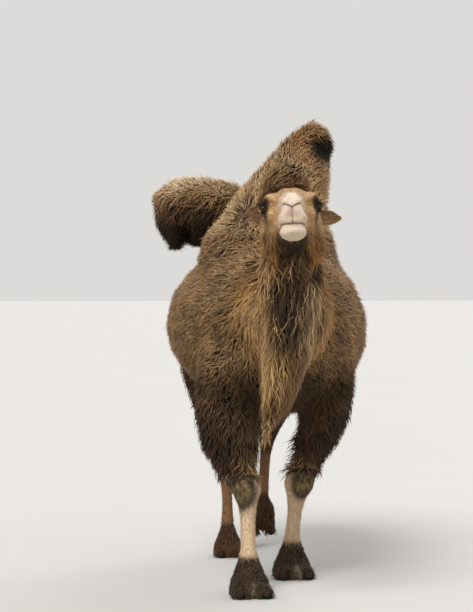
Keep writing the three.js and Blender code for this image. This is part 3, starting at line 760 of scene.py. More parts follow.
class CAMEL_OT_skin(bpy.types.Operator):
    """Draws one skin over the solids of the body, below the depth of the coat"""

    bl_idname = "camel.skin"
    bl_label = "Skin"

    def execute(self, context):
        obj, hull = self.draw_over_solids(context)
        skin = Skin(obj)
        where = region_weights(skin)
        self.sink(skin, hull, where)
        dark = carve_head(skin, where)
        carve_feet(skin, where)
        skin.points = open_lids(skin.points)
        self.mark(skin, where, dark, context.scene.camel_colours)
        self.unwrap(obj)
        bpy.ops.object.shade_smooth()
        finish_piece(obj, skin_material(), FLESH)
        return {"FINISHED"}

    def draw_over_solids(self, context):
        """One closed mesh round the solids, coarse where the coat hides it and finest at eyes and mouth."""
        sizes = context.scene.camel_skin
        obj = joined_solids(FLESH + pair("eye"), overlap=0.6 * MM)
        rename(obj, "skin")
        apply_modifier(obj, "REMESH", mode="VOXEL", voxel_size=sizes.voxel)
        hull = BVHTree.FromObject(obj, context.evaluated_depsgraph_get())
        points = read(obj.data, "vertices", "co", 3)

        # only the body, away from the head and the lower legs, is smoothed much and thinned
        along_face = [(0, -60, -40), (0, 460, -110)]
        from_head, _ = nearest_on(along_face, HEAD.local(points))
        broad = ramp(from_head, 170, 260) * ramp(points[:, 2], 0.5, 0.75)
        body = obj.vertex_groups.new(name="body")
        for level in (0.25, 0.5, 0.75, 1.0):
            body.add(np.nonzero(broad > level - 0.125)[0].tolist(), level, "REPLACE")
        apply_modifier(obj, "SMOOTH", factor=0.5, iterations=sizes.rounding, vertex_group="body")
        apply_modifier(obj, "SMOOTH", factor=0.5, iterations=6)
        apply_modifier(obj, "DECIMATE", ratio=sizes.kept, vertex_group="body", vertex_group_factor=1.0)
        obj.vertex_groups.clear()
        for zone in (near_eyes(52 * MM), near_eyes(40 * MM), near_mouth):
            split_faces(obj.data, zone)
        return obj, hull

    def sink(self, skin, hull, where):
        """Lets the skin down to the depth of the coat, with the soles left flat on the floor."""
        depth = sum(where[name] * COATS[name].numbers["depth"] for name in REGION_NAMES)
        lips = where["head"] * ramp(HEAD.local(skin.points)[:, 1], 300, 400)
        depth = mix(depth, LIP_DEPTH, lips)
        shaggy = np.clip(1 - sum(where[name] for name in SHORT_HAIRED), 0, 1)
        depth = skin.blurred(depth * (1 - ramp(skin.points[:, 2], 0.02, 0.004)), 2)
        settle(skin, hull, depth, shaggy)
        skin.points = skin.points * 0.35 + 0.65 * skin.blurred(skin.points, 1)
        soles = (skin.normals()[:, 2] < -0.3) & (skin.points[:, 2] < 0.012)
        skin.points[soles, 2] = 0

    def mark(self, skin, where, dark, colours):
        """Stores what the coat's pieces and the materials read."""
        mesh, points, normals = skin.mesh, skin.points, skin.normals()
        # painted shade darkens the slits and the mouth line of the head
        shade_in_slits = rgb(14, 9, 7)
        for name, shade in Markings(points, normals, where, colours).shades.items():
            write_attribute(mesh, f"coat_{name}", mix(shade, shade_in_slits, dark), "FLOAT_COLOR")
        flow = skin.blurred(lie_of_coat(points, normals, where), 4)
        write_attribute(mesh, "flow", unit(flow), "FLOAT_VECTOR")
        beard = beard_share(points) * where["head"]
        for key in COAT_NUMBERS:
            values = sum(where[name] * COATS[name].numbers[key] for name in REGION_NAMES)
            if key in ("length", "width"):
                values = values * (1 - 0.5 * on_muzzle(points) * where["head"])
            if key in BEARD:
                values = mix(values, BEARD[key], beard)
            if key == "depth":
                values = values * (1 + 1.1 * inside_left_foreleg(points, normals) * where["foreleg"])
            if key == "hang":
                values = mix(values, 0.8, below_breast(points) * where["trunk"])
            write_attribute(mesh, key, values, "FLOAT")
        for name in REGION_NAMES:
            write_attribute(mesh, f"on_{name}", where[name], "FLOAT")

    def unwrap(self, obj):
        deselect()
        obj.select_set(True)
        bpy.context.view_layer.objects.active = obj
        with all_in_edit_mode():
            bpy.ops.mesh.quads_convert_to_tris(quad_method="BEAUTY", ngon_method="BEAUTY")
            bpy.ops.uv.smart_project(angle_limit=math.radians(66), island_margin=0.0005)
        obj.data.uv_layers[0].name = BAKE_MAP


# ---------------------------------------------------------------- growing locks

PATCH = 0.003  # the size of each lock's patch on the bake map
ROOT_BELOW = 2 * MM  # how far under the skin a lock starts
OFF_FLOOR = 3 * MM
SECTION = [(-1, -0.12), (1, -0.12), (0, 0.34)]  # a lock's corners, across and above, in half widths


class Roots:
    """Places on the skin where locks grow, with what the skin says there."""

    def __init__(self, skin, chosen, thinning, rng):
        mesh = skin.data
        first_loops = read(mesh, "polygons", "loop_start", 1, np.int32)
        loops = first_loops[:, None] + np.arange(3)
        vertices = read(mesh, "loops", "vertex_index", 1, np.int32)[loops]
        places = read(mesh, "vertices", "co", 3).astype(float)
        share = chosen(mesh)[vertices].mean(1)
        spacing = read_attribute(mesh, "spacing")[vertices].mean(1) * thinning
        a, b, c = (places[vertices[:, k]] for k in range(3))
        area = np.linalg.norm(np.cross(b - a, c - a), axis=1) / 2
        expected = np.cumsum(area * share / spacing**2)
        picks = np.arange(rng.uniform(), expected[-1], 1.0)
        face = np.searchsorted(expected, picks)
        u, v = rng.uniform(size=(2, len(face)))
        flip = u + v > 1
        u[flip], v[flip] = 1 - u[flip], 1 - v[flip]
        weight = np.stack([1 - u - v, u, v], 1)

        def at(values, corners=vertices[face]):
            if values.ndim == 1:
                return np.sum(values[corners] * weight, 1)
            return np.sum(values[corners] * weight[:, :, None], 1)

        self.count = len(face)
        self.place = at(places)
        self.normal = unit(at(read(mesh, "vertices", "normal", 3).astype(float)))
        self.flow = unit(at(read_attribute(mesh, "flow")))
        self.dark = at(read_attribute(mesh, "coat_dark"))
        self.light = at(read_attribute(mesh, "coat_light"))
        for key in COAT_NUMBERS:
            setattr(self, key, at(read_attribute(mesh, key)))
        self.patch = at(read(mesh.uv_layers[BAKE_MAP], "data", "uv", 2), loops[face])
        self.chance = rng.uniform(size=self.count)


def clump_offsets(roots, rng, size):
    """From each root to the middle of the clump that it belongs to, and the number of that clump."""
    leaders = np.nonzero(rng.uniform(size=roots.count) < 1 / size)[0]
    if len(leaders) < 2:
        return np.zeros_like(roots.place), np.zeros(roots.count, int)
    tree = KDTree(len(leaders))
    for k, leader in enumerate(leaders):
        tree.insert(roots.place[leader], k)
    tree.balance()
    owner = np.array([tree.find(p)[1] for p in roots.place])
    return roots.place[leaders[owner]] - roots.place, owner


def grow_locks(name, tree, roots, rings, rng, clump_size=9, waves=0.0, wave=0.0, lift=1.0, stretch=1.0):
    """A piece of many closed, tapered locks that run over the skin along the lie of the coat.

    rings is the number of rings before the tip. waves is how often a lock bends to and fro over its length
    and wave how far. lift raises the locks off the skin and stretch lengthens them.
    """
    count = roots.count
    offset, owner = clump_offsets(roots, rng, clump_size)
    clump_turn = rng.normal(size=(count, 3))[owner]
    roots.chance = 0.55 * roots.chance + 0.45 * rng.uniform(size=count)[owner]
    length = roots.length * stretch * rng.uniform(0.7, 1.25, count)
    width = roots.width * rng.uniform(0.7, 1.2, count) * 0.5
    step = (length / rings)[:, None]
    side = unit(np.cross(roots.flow, roots.normal))
    first_bend = rng.normal(size=count) * roots.curl
    second_bend = rng.normal(size=count) * roots.curl
    phase = rng.uniform(0, 2 * math.pi, count)
    rise = rng.uniform(0.45, 1.1, count) * lift
    rise[rng.uniform(size=count) < 0.03] *= 1.35  # a few stand out of the coat

    line = [roots.place - roots.normal * ROOT_BELOW]
    up = [roots.normal]
    ground, normal = roots.place.copy(), roots.normal.copy()
    loose = np.zeros((count, 1))
    for k in range(1, rings + 1):
        t = k / rings
        bend = first_bend * math.sin(2.2 * t) + second_bend * math.sin(4.0 * t)
        drop = np.array([0, 0, -1.0]) * (roots.hang * 1.3 * t)[:, None]
        heading = unit(roots.flow + side * bend[:, None] + 0.22 * clump_turn * t + drop)

        # a lock clings to the skin until it is stopped there or hangs, and then runs on freely
        found = [tree.find_nearest(p) for p in ground + heading * step]
        reached = np.array([f[0] for f in found])
        stopped = 1 - np.linalg.norm(reached - ground, axis=1) / step[:, 0]
        ground = reached
        normal = unit(0.5 * normal + 0.5 * np.array([f[1] for f in found]))
        height = roots.depth * rise * (0.35 + 0.65 * t) * min(1, 1.6 * t)
        held = ground + normal * height[:, None]
        hanging = np.maximum(roots.hang * t, ramp(stopped, 0.3, 0.75))[:, None]
        loose = np.maximum(hanging, loose * (k > 1))
        free = line[-1] + heading * step * (1 - 0.4 * ramp(loose, 0.6, 1.0))
        lean = offset * (roots.clump * 0.5 * (t**1.4 - ((k - 1) / rings) ** 1.4))[:, None]
        line.append(held * (1 - loose) + free * loose + lean)
        ground = ground + lean
        up.append(normal)
    line = np.stack(line, 1)
    if wave:
        share = np.linspace(0, 1, rings + 1)
        swing = np.sin(2 * math.pi * waves * share[None] + phase[:, None]) - np.sin(phase)[:, None]
        line += side[:, None] * (swing * share[None] ** 0.7 * wave)[:, :, None]
    line[:, 1:, 2] = np.maximum(line[:, 1:, 2], OFF_FLOOR)
    return lock_mesh(name, roots, line, np.stack(up, 1), width, root_width=0.8)


def lock_points(line, up, width, root_width):
    """The corners of each lock's rings, and its tip. root_width is the width at the root, from 0 to 1."""
    count, rings = len(line), line.shape[1] - 1
    ahead = np.empty_like(line)
    ahead[:, 1:-1] = line[:, 2:] - line[:, :-2]
    ahead[:, 0], ahead[:, -1] = line[:, 1] - line[:, 0], line[:, -1] - line[:, -2]
    ahead = unit(ahead)
    across = unit(np.cross(ahead, up))
    above = np.cross(across, ahead)
    share = np.arange(rings) / rings
    bulge = root_width + (1 - root_width) * np.sin(np.pi * np.clip(share * 1.4, 0, 1))
    half = width[:, None] * (bulge * (1 - share**1.5))[None]
    sections = [
        line[:, :-1] + across[:, :-1] * (half * cx)[:, :, None] + above[:, :-1] * (half * cz)[:, :, None]
        for cx, cz in SECTION
    ]
    body = np.stack(sections, 2).reshape(count, rings * 3, 3)
    return np.concatenate([body, line[:, -1:]], 1)


def lock_faces(count, rings):
    """The vertices of every face of the locks, one after another, and where each face starts among them."""
    per = rings * 3 + 1
    quads = []
    for k in range(rings - 1):
        for j in range(3):
            a, b = k * 3 + j, k * 3 + (j + 1) % 3
            quads.append((a, b, b + 3, a + 3))
    last = (rings - 1) * 3
    tris = [(0, 2, 1)] + [(last + j, last + (j + 1) % 3, per - 1) for j in range(3)]
    base = (np.arange(count) * per)[:, None, None]
    quad_corners = (np.array(quads, np.int64).reshape(1, -1, 4) + base).reshape(-1)
    tri_corners = (np.array(tris, np.int64).reshape(1, -1, 3) + base).reshape(-1)
    n_quads, n_tris = len(quad_corners) // 4, len(tri_corners) // 3
    corners = np.concatenate([quad_corners, tri_corners])
    starts = np.concatenate([np.arange(n_quads) * 4, n_quads * 4 + np.arange(n_tris) * 3])
    return corners.astype(np.int32), starts.astype(np.int32)


def lock_mesh(name, roots, line, up, width, root_width):
    """Closed three-sided locks along the lines, as one mesh with their shades and bake patches."""
    count, rings = len(line), line.shape[1] - 1
    points = lock_points(line, up, width, root_width)
    per = points.shape[1]
    corners, starts = lock_faces(count, rings)
    mesh = bpy.data.meshes.new(name)
    mesh.vertices.add(count * per)
    mesh.vertices.foreach_set("co", points.astype(np.float32).ravel())
    mesh.loops.add(len(corners))
    mesh.loops.foreach_set("vertex_index", corners)
    mesh.polygons.add(len(starts))
    mesh.polygons.foreach_set("loop_start", starts)
    mesh.polygons.foreach_set("use_smooth", np.ones(len(starts), bool))
    mesh.update(calc_edges=True)

    along = np.append(np.repeat(np.arange(rings) / rings, 3), 1.0)
    beside = np.append(np.tile([-1.0, 1.0, 0.0], rings), 0.0)
    strand = rows(beside[None], along[None], roots.chance[:, None])
    write_attribute(mesh, "strand", strand.reshape(-1, 3), "FLOAT_VECTOR")
    for shade, values in (("coat_dark", roots.dark), ("coat_light", roots.light)):
        write_attribute(mesh, shade, np.repeat(values, per, axis=0), "FLOAT_COLOR")
    patch = np.stack([beside * 0.5, along - 0.5], 1) * PATCH
    uv = (roots.patch[:, None] + patch[None]).reshape(-1, 2)
    mesh.uv_layers.new(name=BAKE_MAP).data.foreach_set("uv", uv[corners].astype(np.float32).ravel())
    obj = bpy.data.objects.new(name, mesh)
    bpy.context.scene.collection.objects.link(obj)
    return obj


# ---------------------------------------------------------------- operators: coat


class Growth:
    """One piece of the coat: where it grows and the shape of its locks.

    zone gives a share from 0 to 1 at points of the skin. thinning spaces the roots wider.
    """

    def __init__(self, name, regions, slot, rings, zone=None, thinning=1.0, **shape):
        self.name, self.regions, self.slot, self.rings = name, regions, slot, rings
        self.zone, self.thinning, self.shape = zone, thinning, shape

    def chosen(self, mesh):
        share = sum(read_attribute(mesh, f"on_{region}") for region in self.regions)
        if self.zone:
            share = share * self.zone(read(mesh, "vertices", "co", 3))
        return share


def grow_all(growths, seed, coat):
    """Makes each piece of the coat on the skin."""
    skin = bpy.data.objects["skin"]
    tree = BVHTree.FromObject(skin, bpy.context.evaluated_depsgraph_get())
    for number, growth in enumerate(growths):
        rng = np.random.default_rng(seed * 100 + number)
        roots = Roots(skin, growth.chosen, growth.thinning / math.sqrt(coat.density), rng)
        roots.length *= coat.length
        roots.width *= coat.width
        obj = grow_locks(growth.name, tree, roots, growth.rings, rng, **growth.shape)
        finish_piece(obj, hair_material())


def quarter(right, front):
    """One of four parts of the body, with soft borders so that neighbouring pieces mingle."""
    middle = centre_of("trunk")

    def zone(points):
        beside = ramp(points[:, 0], middle[0] - 0.03, middle[0] + 0.03)
        behind = ramp(points[:, 1], middle[1] - 0.04, middle[1] + 0.04)
        return (1 - beside if right else beside) * (1 - behind if front else behind)

    return zone


def band(low, high):
    """A zone that is 0 at the height low and 1 at the height high, which may be the lower one."""
    return lambda points: ramp(points[:, 2], low, high)


def toe_tops(points):
    """1 in a band over the toenails, where longer hair falls over them."""
    nearest = np.min([np.hypot(*(points[:, :2] - centre_of(name)[:2]).T) for name in NAILS], axis=0)
    return ramp(nearest, 0.075, 0.05) * ramp(points[:, 2], 0.11, 0.09) * ramp(points[:, 2], 0.035, 0.05)


def short_face(points):
    """1 on the face, but for the muzzle and the beard."""
    return (1 - on_muzzle(points)) * (1 - beard_share(points))


class CAMEL_OT_wool(bpy.types.Operator):
    """Grows the fleece of the trunk"""

    bl_idname = "camel.wool"
    bl_label = "Wool of the trunk"

    def execute(self, context):
        growths = [
            Growth(f"wool_{side}_{end}", ["trunk"], "coat", 2, quarter(side == "right", end == "front"))
            for side in SIDES for end in ("front", "rear")
        ]
        grow_all(growths, 1, context.scene.camel_coat)
        return {"FINISHED"}


class CAMEL_OT_humps(bpy.types.Operator):
    """Grows the crests of the humps"""

    bl_idname = "camel.humps"
    bl_label = "Hair of the humps"

    def execute(self, context):
        growths = [
            Growth("wool_hump_front", ["hump_front"], "coat", 3),
            Growth("wool_hump_rear", ["hump_rear"], "coat", 3, band(1.83, 1.90)),
            Growth("locks_hump_rear", ["hump_rear"], "coat", 5, band(1.93, 1.86), thinning=1.2, waves=2.0,
                   wave=6 * MM, stretch=2.5, clump_size=12, lift=1.1),
        ]
        grow_all(growths, 2, context.scene.camel_coat)
        return {"FINISHED"}


class CAMEL_OT_mane(bpy.types.Operator):
    """Grows the long hair of the neck, throat, crown and tail"""

    bl_idname = "camel.mane"
    bl_label = "Long hair"

    def execute(self, context):
        growths = [
            Growth("locks_neck", ["neck"], "mane", 4, waves=1.4, wave=5 * MM),
            Growth("locks_throat", ["throat_fringe"], "mane", 6, waves=2.4, wave=7 * MM, clump_size=12),
            Growth("topknot_locks", ["topknot"], "mane", 6, waves=1.2, wave=5 * MM, clump_size=16, lift=1.1),
            Growth("tail_locks", ["tail"], "mane", 5, waves=1.5, wave=4 * MM),
        ]
        grow_all(growths, 3, context.scene.camel_coat)
        return {"FINISHED"}


class CAMEL_OT_legs(bpy.types.Operator):
    """Grows the shaggy hair of the upper legs and the short hair below"""

    bl_idname = "camel.legs"
    bl_label = "Hair of the legs"

    def execute(self, context):
        feet = ["forefoot", "hindfoot"]
        growths = [
            Growth("wool_forelegs", ["foreleg"], "coat", 4, waves=1.2, wave=4 * MM),
            Growth("wool_thighs", ["thigh"], "coat", 3),
            Growth("locks_breast", ["trunk"], "coat", 4, below_breast, waves=1.4, wave=5 * MM, stretch=2.8),
            Growth("hair_cannons", ["forecannon", "hindcannon"], "cannon", 2, clump_size=6),
            Growth("hair_feet", feet, "foot", 2, clump_size=6),
            Growth("tufts_toes", feet, "foot", 4, toe_tops, thinning=0.8, clump_size=8, stretch=2.3,
                   lift=2.6),
        ]
        grow_all(growths, 4, context.scene.camel_coat)
        return {"FINISHED"}


class CAMEL_OT_face(bpy.types.Operator):
    """Grows the short hair of the head and ears, and the beard"""

    bl_idname = "camel.face"
    bl_label = "Hair of the face"

    def execute(self, context):
        growths = [
            Growth("hair_face", ["head"], "face", 2, short_face, clump_size=5),
            Growth("locks_jaw", ["head"], "mane", 5, beard_share, waves=1.6, wave=4 * MM),
            Growth("hair_ears", ["ear"], "face", 3, clump_size=6),
        ]
        grow_all(growths, 5, context.scene.camel_coat)
        return {"FINISHED"}


# ---------------------------------------------------------------- operators: eyes and nails

CORNEA_RISE = 1.6 * MM  # how far the cornea stands out of the eyeball
CORNEA_EDGE = math.cos(0.66)
LASH_FROM = EYE_R + 1.5 * MM  # how far from the middle of an eye the lashes start
LASH_STEPS = 6
LASH_WIDTH = 0.6 * MM
LASH_SHADES = [(9, 6, 5), (34, 23, 16)]
# Rows of lashes: their number, the height of the lid's edge in the middle, how far above that edge they
# stand and how long they are, all in millimetres, and how the tips droop.
LASH_ROWS = [(26, 10.2, 0, 24, -0.3), (22, 10.2, 1.6, 24, -0.3), (12, -9.7, 0, 9, -0.2)]
LASH_CORNER = 19.5  # how far along the lids from the middle the rows would meet


def lid_ray(m, along, across):
    """Direction from an eye's middle to a place on its surface, given in millimetres over it."""
    outward, ahead, up = eye_axes(m)
    a, b = along * MM / EYE_R, across * MM / EYE_R
    return outward * math.cos(b) * math.cos(a) + ahead * math.cos(b) * math.sin(a) + up * math.sin(b)


class CAMEL_OT_eyes(bpy.types.Operator):
    """Makes the eyeballs with a raised cornea"""

    bl_idname = "camel.eyes"
    bl_label = "Eyes"

    def execute(self, context):
        for side, m in SIDES.items():
            deselect()
            bpy.ops.mesh.primitive_uv_sphere_add(segments=64, ring_count=48, radius=EYE_R)
            obj = bpy.context.object
            rename(obj, f"eyeball_{side}")
            self.shape(obj.data, centre_of(f"eye_{side}"), m)
            with all_in_edit_mode():
                bpy.ops.mesh.normals_make_consistent(inside=False)
            bpy.ops.object.shade_smooth()
            finish_piece(obj, eye_material(context.scene.camel_colours.iris), [f"eye_{side}"])
        return {"FINISHED"}

    def shape(self, mesh, middle, m):
        """Raises the cornea at the ball's top and turns the top to where the eye looks."""
        outward, ahead, up = eye_axes(m)
        gaze = unit(outward + 0.16 * up + 0.05 * ahead)
        second = unit(up - gaze * (gaze @ up))
        first = np.cross(second, gaze)
        ray = unit(read(mesh, "vertices", "co", 3).astype(float))
        lift = CORNEA_RISE * ramp(ray[:, 2], CORNEA_EDGE, 1)
        ball = ray * (EYE_R + lift)[:, None]
        placed = middle + ball[:, :1] * first + ball[:, 1:2] * second + ball[:, 2:] * gaze
        write_attribute(mesh, "gaze", ray, "FLOAT_VECTOR")
        mesh.vertices.foreach_set("co", placed.astype(np.float32).ravel())
        mesh.update()


class Strands:
    """Roots at given places, with one pair of shades."""

    def __init__(self, skin, places, dark, light, rng):
        mesh = skin.data
        tree = KDTree(len(mesh.vertices))
        for vertex in mesh.vertices:
            tree.insert(vertex.co, vertex.index)
        tree.balance()
        patch_of_vertex = np.zeros((len(mesh.vertices), 2))
        loops = read(mesh, "loops", "vertex_index", 1, np.int32)
        patch_of_vertex[loops] = read(mesh.uv_layers[BAKE_MAP], "data", "uv", 2)
        self.patch = patch_of_vertex[[tree.find(p)[1] for p in places]]
        self.dark = np.tile(rgb(*dark), (len(places), 1))
        self.light = np.tile(rgb(*light), (len(places), 1))
        self.chance = rng.uniform(size=len(places))


class CAMEL_OT_lashes(bpy.types.Operator):
    """Sets long lashes along the upper lids and short ones along the lower lids"""

    bl_idname = "camel.lashes"
    bl_label = "Lashes"

    def execute(self, context):
        rng = np.random.default_rng(61)
        lines, ups = [], []
        for side, m in SIDES.items():
            middle = centre_of(f"eye_{side}")
            _, ahead, up = eye_axes(m)
            for count, height, above, long, droop in LASH_ROWS:
                for along in np.linspace(-18, 17, count) + rng.normal(0, 0.5, count):
                    ray = lid_ray(m, along, height * (1 - (along / LASH_CORNER) ** 2) + above)
                    length = long * MM * rng.uniform(0.7, 1.1)
                    fan = ahead * along / 24 + rng.normal(0, 0.08, 3)
                    steps = np.linspace(0, 1, LASH_STEPS)[:, None]
                    curve = steps * (ray * 0.9 + fan + up * 0.10) + steps**2 * up * droop
                    lines.append(middle + ray * LASH_FROM + length * curve)
                    ups.append(np.tile(up, (LASH_STEPS, 1)))
        line = np.array(lines)
        strands = Strands(bpy.data.objects["skin"], line[:, 0], *LASH_SHADES, rng)
        width = np.full(len(line), LASH_WIDTH)
        obj = lock_mesh("lashes", strands, line, np.array(ups), width, root_width=1.0)
        finish_piece(obj, hair_material())
        return {"FINISHED"}


class CAMEL_OT_toenails(bpy.types.Operator):
    """Rounds the two nails of each foot"""

    bl_idname = "camel.toenails"
    bl_label = "Toenails"

    def execute(self, context):
        obj = joined_solids(NAILS, overlap=0.0)
        rename(obj, "toenails")
        apply_modifier(obj, "SUBSURF", levels=2, render_levels=2)
        bpy.ops.object.shade_smooth()
        finish_piece(obj, nail_material(context.scene.camel_colours.horn), NAILS)
        return {"FINISHED"}


# ---------------------------------------------------------------- materials


class Graph:
    """Small helper that adds and links nodes of one tree."""

    def __init__(self, tree):
        self.tree = tree

    def node(self, kind, **settings):
        node = self.tree.nodes.new(kind)
        for name, value in settings.items():
            setattr(node, name, value)
        return node

    def feed(self, socket, value):
        """Links an output into a socket, or sets the socket's own value."""
        if isinstance(value, bpy.types.NodeSocket):
            self.tree.links.new(value, socket)
        elif value is not None:
            socket.default_value = value

    def math(self, operation, *values, clamp=False):
        node = self.node("ShaderNodeMath", operation=operation, use_clamp=clamp)
        for socket, value in zip(node.inputs, values):
            self.feed(socket, value)
        return node.outputs[0]

    def blend(self, share, a, b):
        """A colour between two others."""
        node = self.node("ShaderNodeMix", data_type="RGBA")
        self.feed(node.inputs[0], share)
        self.feed(node.inputs[6], a)
        self.feed(node.inputs[7], b)
        return node.outputs[2]

    def between(self, share, a, b):
        """A number between two others."""
        node = self.node("ShaderNodeMix", data_type="FLOAT")
        self.feed(node.inputs[0], share)
        self.feed(node.inputs[2], a)
        self.feed(node.inputs[3], b)
        return node.outputs[0]

    def edge(self, value, low, high):
        """0 below low, 1 above high, and smooth in between."""
        node = self.node("ShaderNodeMapRange", interpolation_type="SMOOTHSTEP")
        self.feed(node.inputs["Value"], value)
        self.feed(node.inputs["From Min"], low)
        self.feed(node.inputs["From Max"], high)
        return node.outputs[0]

    def noise(self, place, scale, detail, roughness):
        node = self.node("ShaderNodeTexNoise")
        self.feed(node.inputs["Vector"], place)
        self.feed(node.inputs["Scale"], scale)
        self.feed(node.inputs["Detail"], detail)
        self.feed(node.inputs["Roughness"], roughness)
        return node.outputs[0]

    def stretched(self, place, scale, turn=(0, 0, 0)):
        node = self.node("ShaderNodeMapping")
        self.feed(node.inputs["Vector"], place)
        node.inputs["Scale"].default_value = scale
        node.inputs["Rotation"].default_value = turn
        return node.outputs[0]

    def attribute(self, name, output="Fac"):
        return self.node("ShaderNodeAttribute", attribute_name=name).outputs[output]

    def place(self):
        return self.node("ShaderNodeTexCoord").outputs["Object"]

    def split(self, vector):
        node = self.node("ShaderNodeSeparateXYZ")
        self.feed(node.inputs[0], vector)
        return node.outputs

    def group(self, tree, **values):
        node = self.node("ShaderNodeGroup", node_tree=tree)
        for name, value in values.items():
            self.feed(node.inputs[name.replace("_", " ")], value)
        return node.outputs


def plain_group(name, inputs, outputs):
    """An empty shader node group and its graph, input and output nodes."""
    tree = bpy.data.node_groups.new(name, "ShaderNodeTree")
    for label, kind, default in inputs:
        socket = tree.interface.new_socket(name=label, in_out="INPUT", socket_type=kind)
        if default is not None:
            socket.default_value = default
    for label, kind in outputs:
        tree.interface.new_socket(name=label, in_out="OUTPUT", socket_type=kind)
    graph = Graph(tree)
    return tree, graph, graph.node("NodeGroupInput").outputs, graph.node("NodeGroupOutput").inputs


def hair_tone_group():
    """Shades from root to tip, with a streak along the hair and a chance difference from lock to lock."""
    found = bpy.data.node_groups.get("Hair tone")
    if found:
        return found
    tree, graph, given, out = plain_group(
        "Hair tone",
        [("Dark", "NodeSocketColor", (0.1, 0.06, 0.03, 1)),
         ("Light", "NodeSocketColor", (0.5, 0.35, 0.2, 1)),
         ("Share", "NodeSocketFloat", 0.5),
         ("Streak", "NodeSocketFloat", 0.5),
         ("Contrast", "NodeSocketFloat", 0.5)],
        [("Color", "NodeSocketColor"), ("Height", "NodeSocketFloat")])
    centred = graph.math("SUBTRACT", given["Streak"], 0.5)
    share = graph.math("MULTIPLY_ADD", centred, given["Contrast"], given["Share"], clamp=True)
    graph.feed(out["Color"], graph.blend(share, given["Dark"], given["Light"]))
    graph.feed(out["Height"], given["Streak"])
    return tree


def new_material(name, roughness, specular=0.3, **constants):
    """A material with a Principled shader whose constant values sit on its own sockets."""
    material = bpy.data.materials.new(name)
    material.use_nodes = True
    graph = Graph(material.node_tree)
    shader = material.node_tree.nodes["Principled BSDF"]
    shader.inputs["Roughness"].default_value = roughness
    shader.inputs["Specular IOR Level"].default_value = specular
    for label, value in constants.items():
        shader.inputs[label.replace("_", " ")].default_value = value
    return material, graph, shader


def add_bump(graph, shader, height, strength, distance):
    bump = graph.node("ShaderNodeBump")
    bump.inputs["Strength"].default_value = strength
    bump.inputs["Distance"].default_value = distance
    graph.feed(bump.inputs["Height"], height)
    graph.feed(shader.inputs["Normal"], bump.outputs[0])


def tint(graph, shader, share, streak, contrast, ridge):
    """Colours the shader with the coat's two shades and raises the streaks by ridge, in metres."""
    dark, light = graph.attribute("coat_dark", "Color"), graph.attribute("coat_light", "Color")
    shades = {"Dark": dark, "Light": light}
    tone = graph.group(hair_tone_group(), Share=share, Streak=streak, Contrast=contrast, **shades)
    graph.feed(shader.inputs["Base Color"], tone["Color"])
    add_bump(graph, shader, tone["Height"], 0.5, ridge)


def hair_material():
    """Every lock: dark at the root, light at the tip, no two alike."""
    found = bpy.data.materials.get("Hair")
    if found:
        return found
    material, graph, shader = new_material("Hair", 0.72, 0.25)
    beside, along, chance = graph.split(graph.attribute("strand", "Vector"))
    # the streaks are narrow and long, and lie differently on each lock
    streak_at = graph.node("ShaderNodeCombineXYZ")
    for socket, value, scale in zip(streak_at.inputs, (beside, along, chance), (4.2, 0.8, 90.0)):
        graph.feed(socket, graph.math("MULTIPLY", value, scale))
    streak = graph.noise(streak_at.outputs[0], 1.6, 3.0, 0.6)
    rise = graph.math("POWER", along, 0.75)
    share = graph.math("MULTIPLY", rise, 0.7)
    share = graph.math("MULTIPLY_ADD", graph.math("SUBTRACT", chance, 0.4), 0.75, share)
    tint(graph, shader, share, streak, 2.2, 0.002)
    return material


def skin_material():
    """The skin under the coat, streaked like short fur down the body and along the face."""
    material, graph, shader = new_material("Skin and short fur", 0.8, 0.2)
    place = graph.place()
    down = graph.noise(graph.stretched(place, (1, 1, 0.22)), 260.0, 3.0, 0.6)
    face = graph.noise(graph.stretched(place, (1, 0.25, 1), (-HEAD_PITCH, 0, 0)), 300.0, 3.0, 0.6)
    on_head = graph.attribute("on_head")
    streak = graph.between(on_head, down, face)
    on_cannons = graph.math("ADD", graph.attribute("on_forecannon"), graph.attribute("on_hindcannon"))
    short = graph.math("ADD", on_head, on_cannons, clamp=True)
    share = graph.math("MULTIPLY_ADD", short, 0.45, 0.05)
    tint(graph, shader, share, streak, 1.0, 0.0015)
    return material


def eye_material(iris_light):
    """Dark brown iris, level pupil and off-white ball, under a clear coat."""
    found = bpy.data.materials.get("Eye")
    if found:
        return found
    material, graph, shader = new_material("Eye", 0.25, 0.12, Coat_Weight=0.25, Coat_Roughness=0.05)
    across, up, _ = graph.split(graph.attribute("gaze", "Vector"))
    wide = graph.math("POWER", graph.math("ABSOLUTE", across), 2.0)
    tall = graph.math("POWER", graph.math("ABSOLUTE", up), 2.0)
    radius = graph.math("SQRT", graph.math("ADD", wide, tall))
    # the pupil is twice as wide as it is tall
    oval = graph.math("ADD", graph.math("MULTIPLY", wide, 7.0), graph.math("MULTIPLY", tall, 28.0))
    from_pupil = graph.math("SQRT", oval)
    fibres = graph.noise(graph.stretched(graph.attribute("gaze", "Vector"), (9, 9, 1)), 3.0, 4.0, 0.7)
    iris = graph.blend(fibres, (0.010, 0.005, 0.003, 1), [*iris_light, 1])
    veins = graph.noise(graph.attribute("gaze", "Vector"), 14.0, 4.0, 0.7)
    ball = graph.blend(veins, (0.62, 0.50, 0.40, 1), (0.80, 0.74, 0.66, 1))
    rimmed = graph.blend(graph.edge(radius, 0.90, 0.99), (0.06, 0.03, 0.02, 1), ball)
    open_eye = graph.blend(graph.edge(radius, 0.80, 0.90), iris, rimmed)
    colour = graph.blend(graph.edge(from_pupil, 0.9, 1.1), (0.002, 0.002, 0.003, 1), open_eye)
    graph.feed(shader.inputs["Base Color"], colour)
    return material


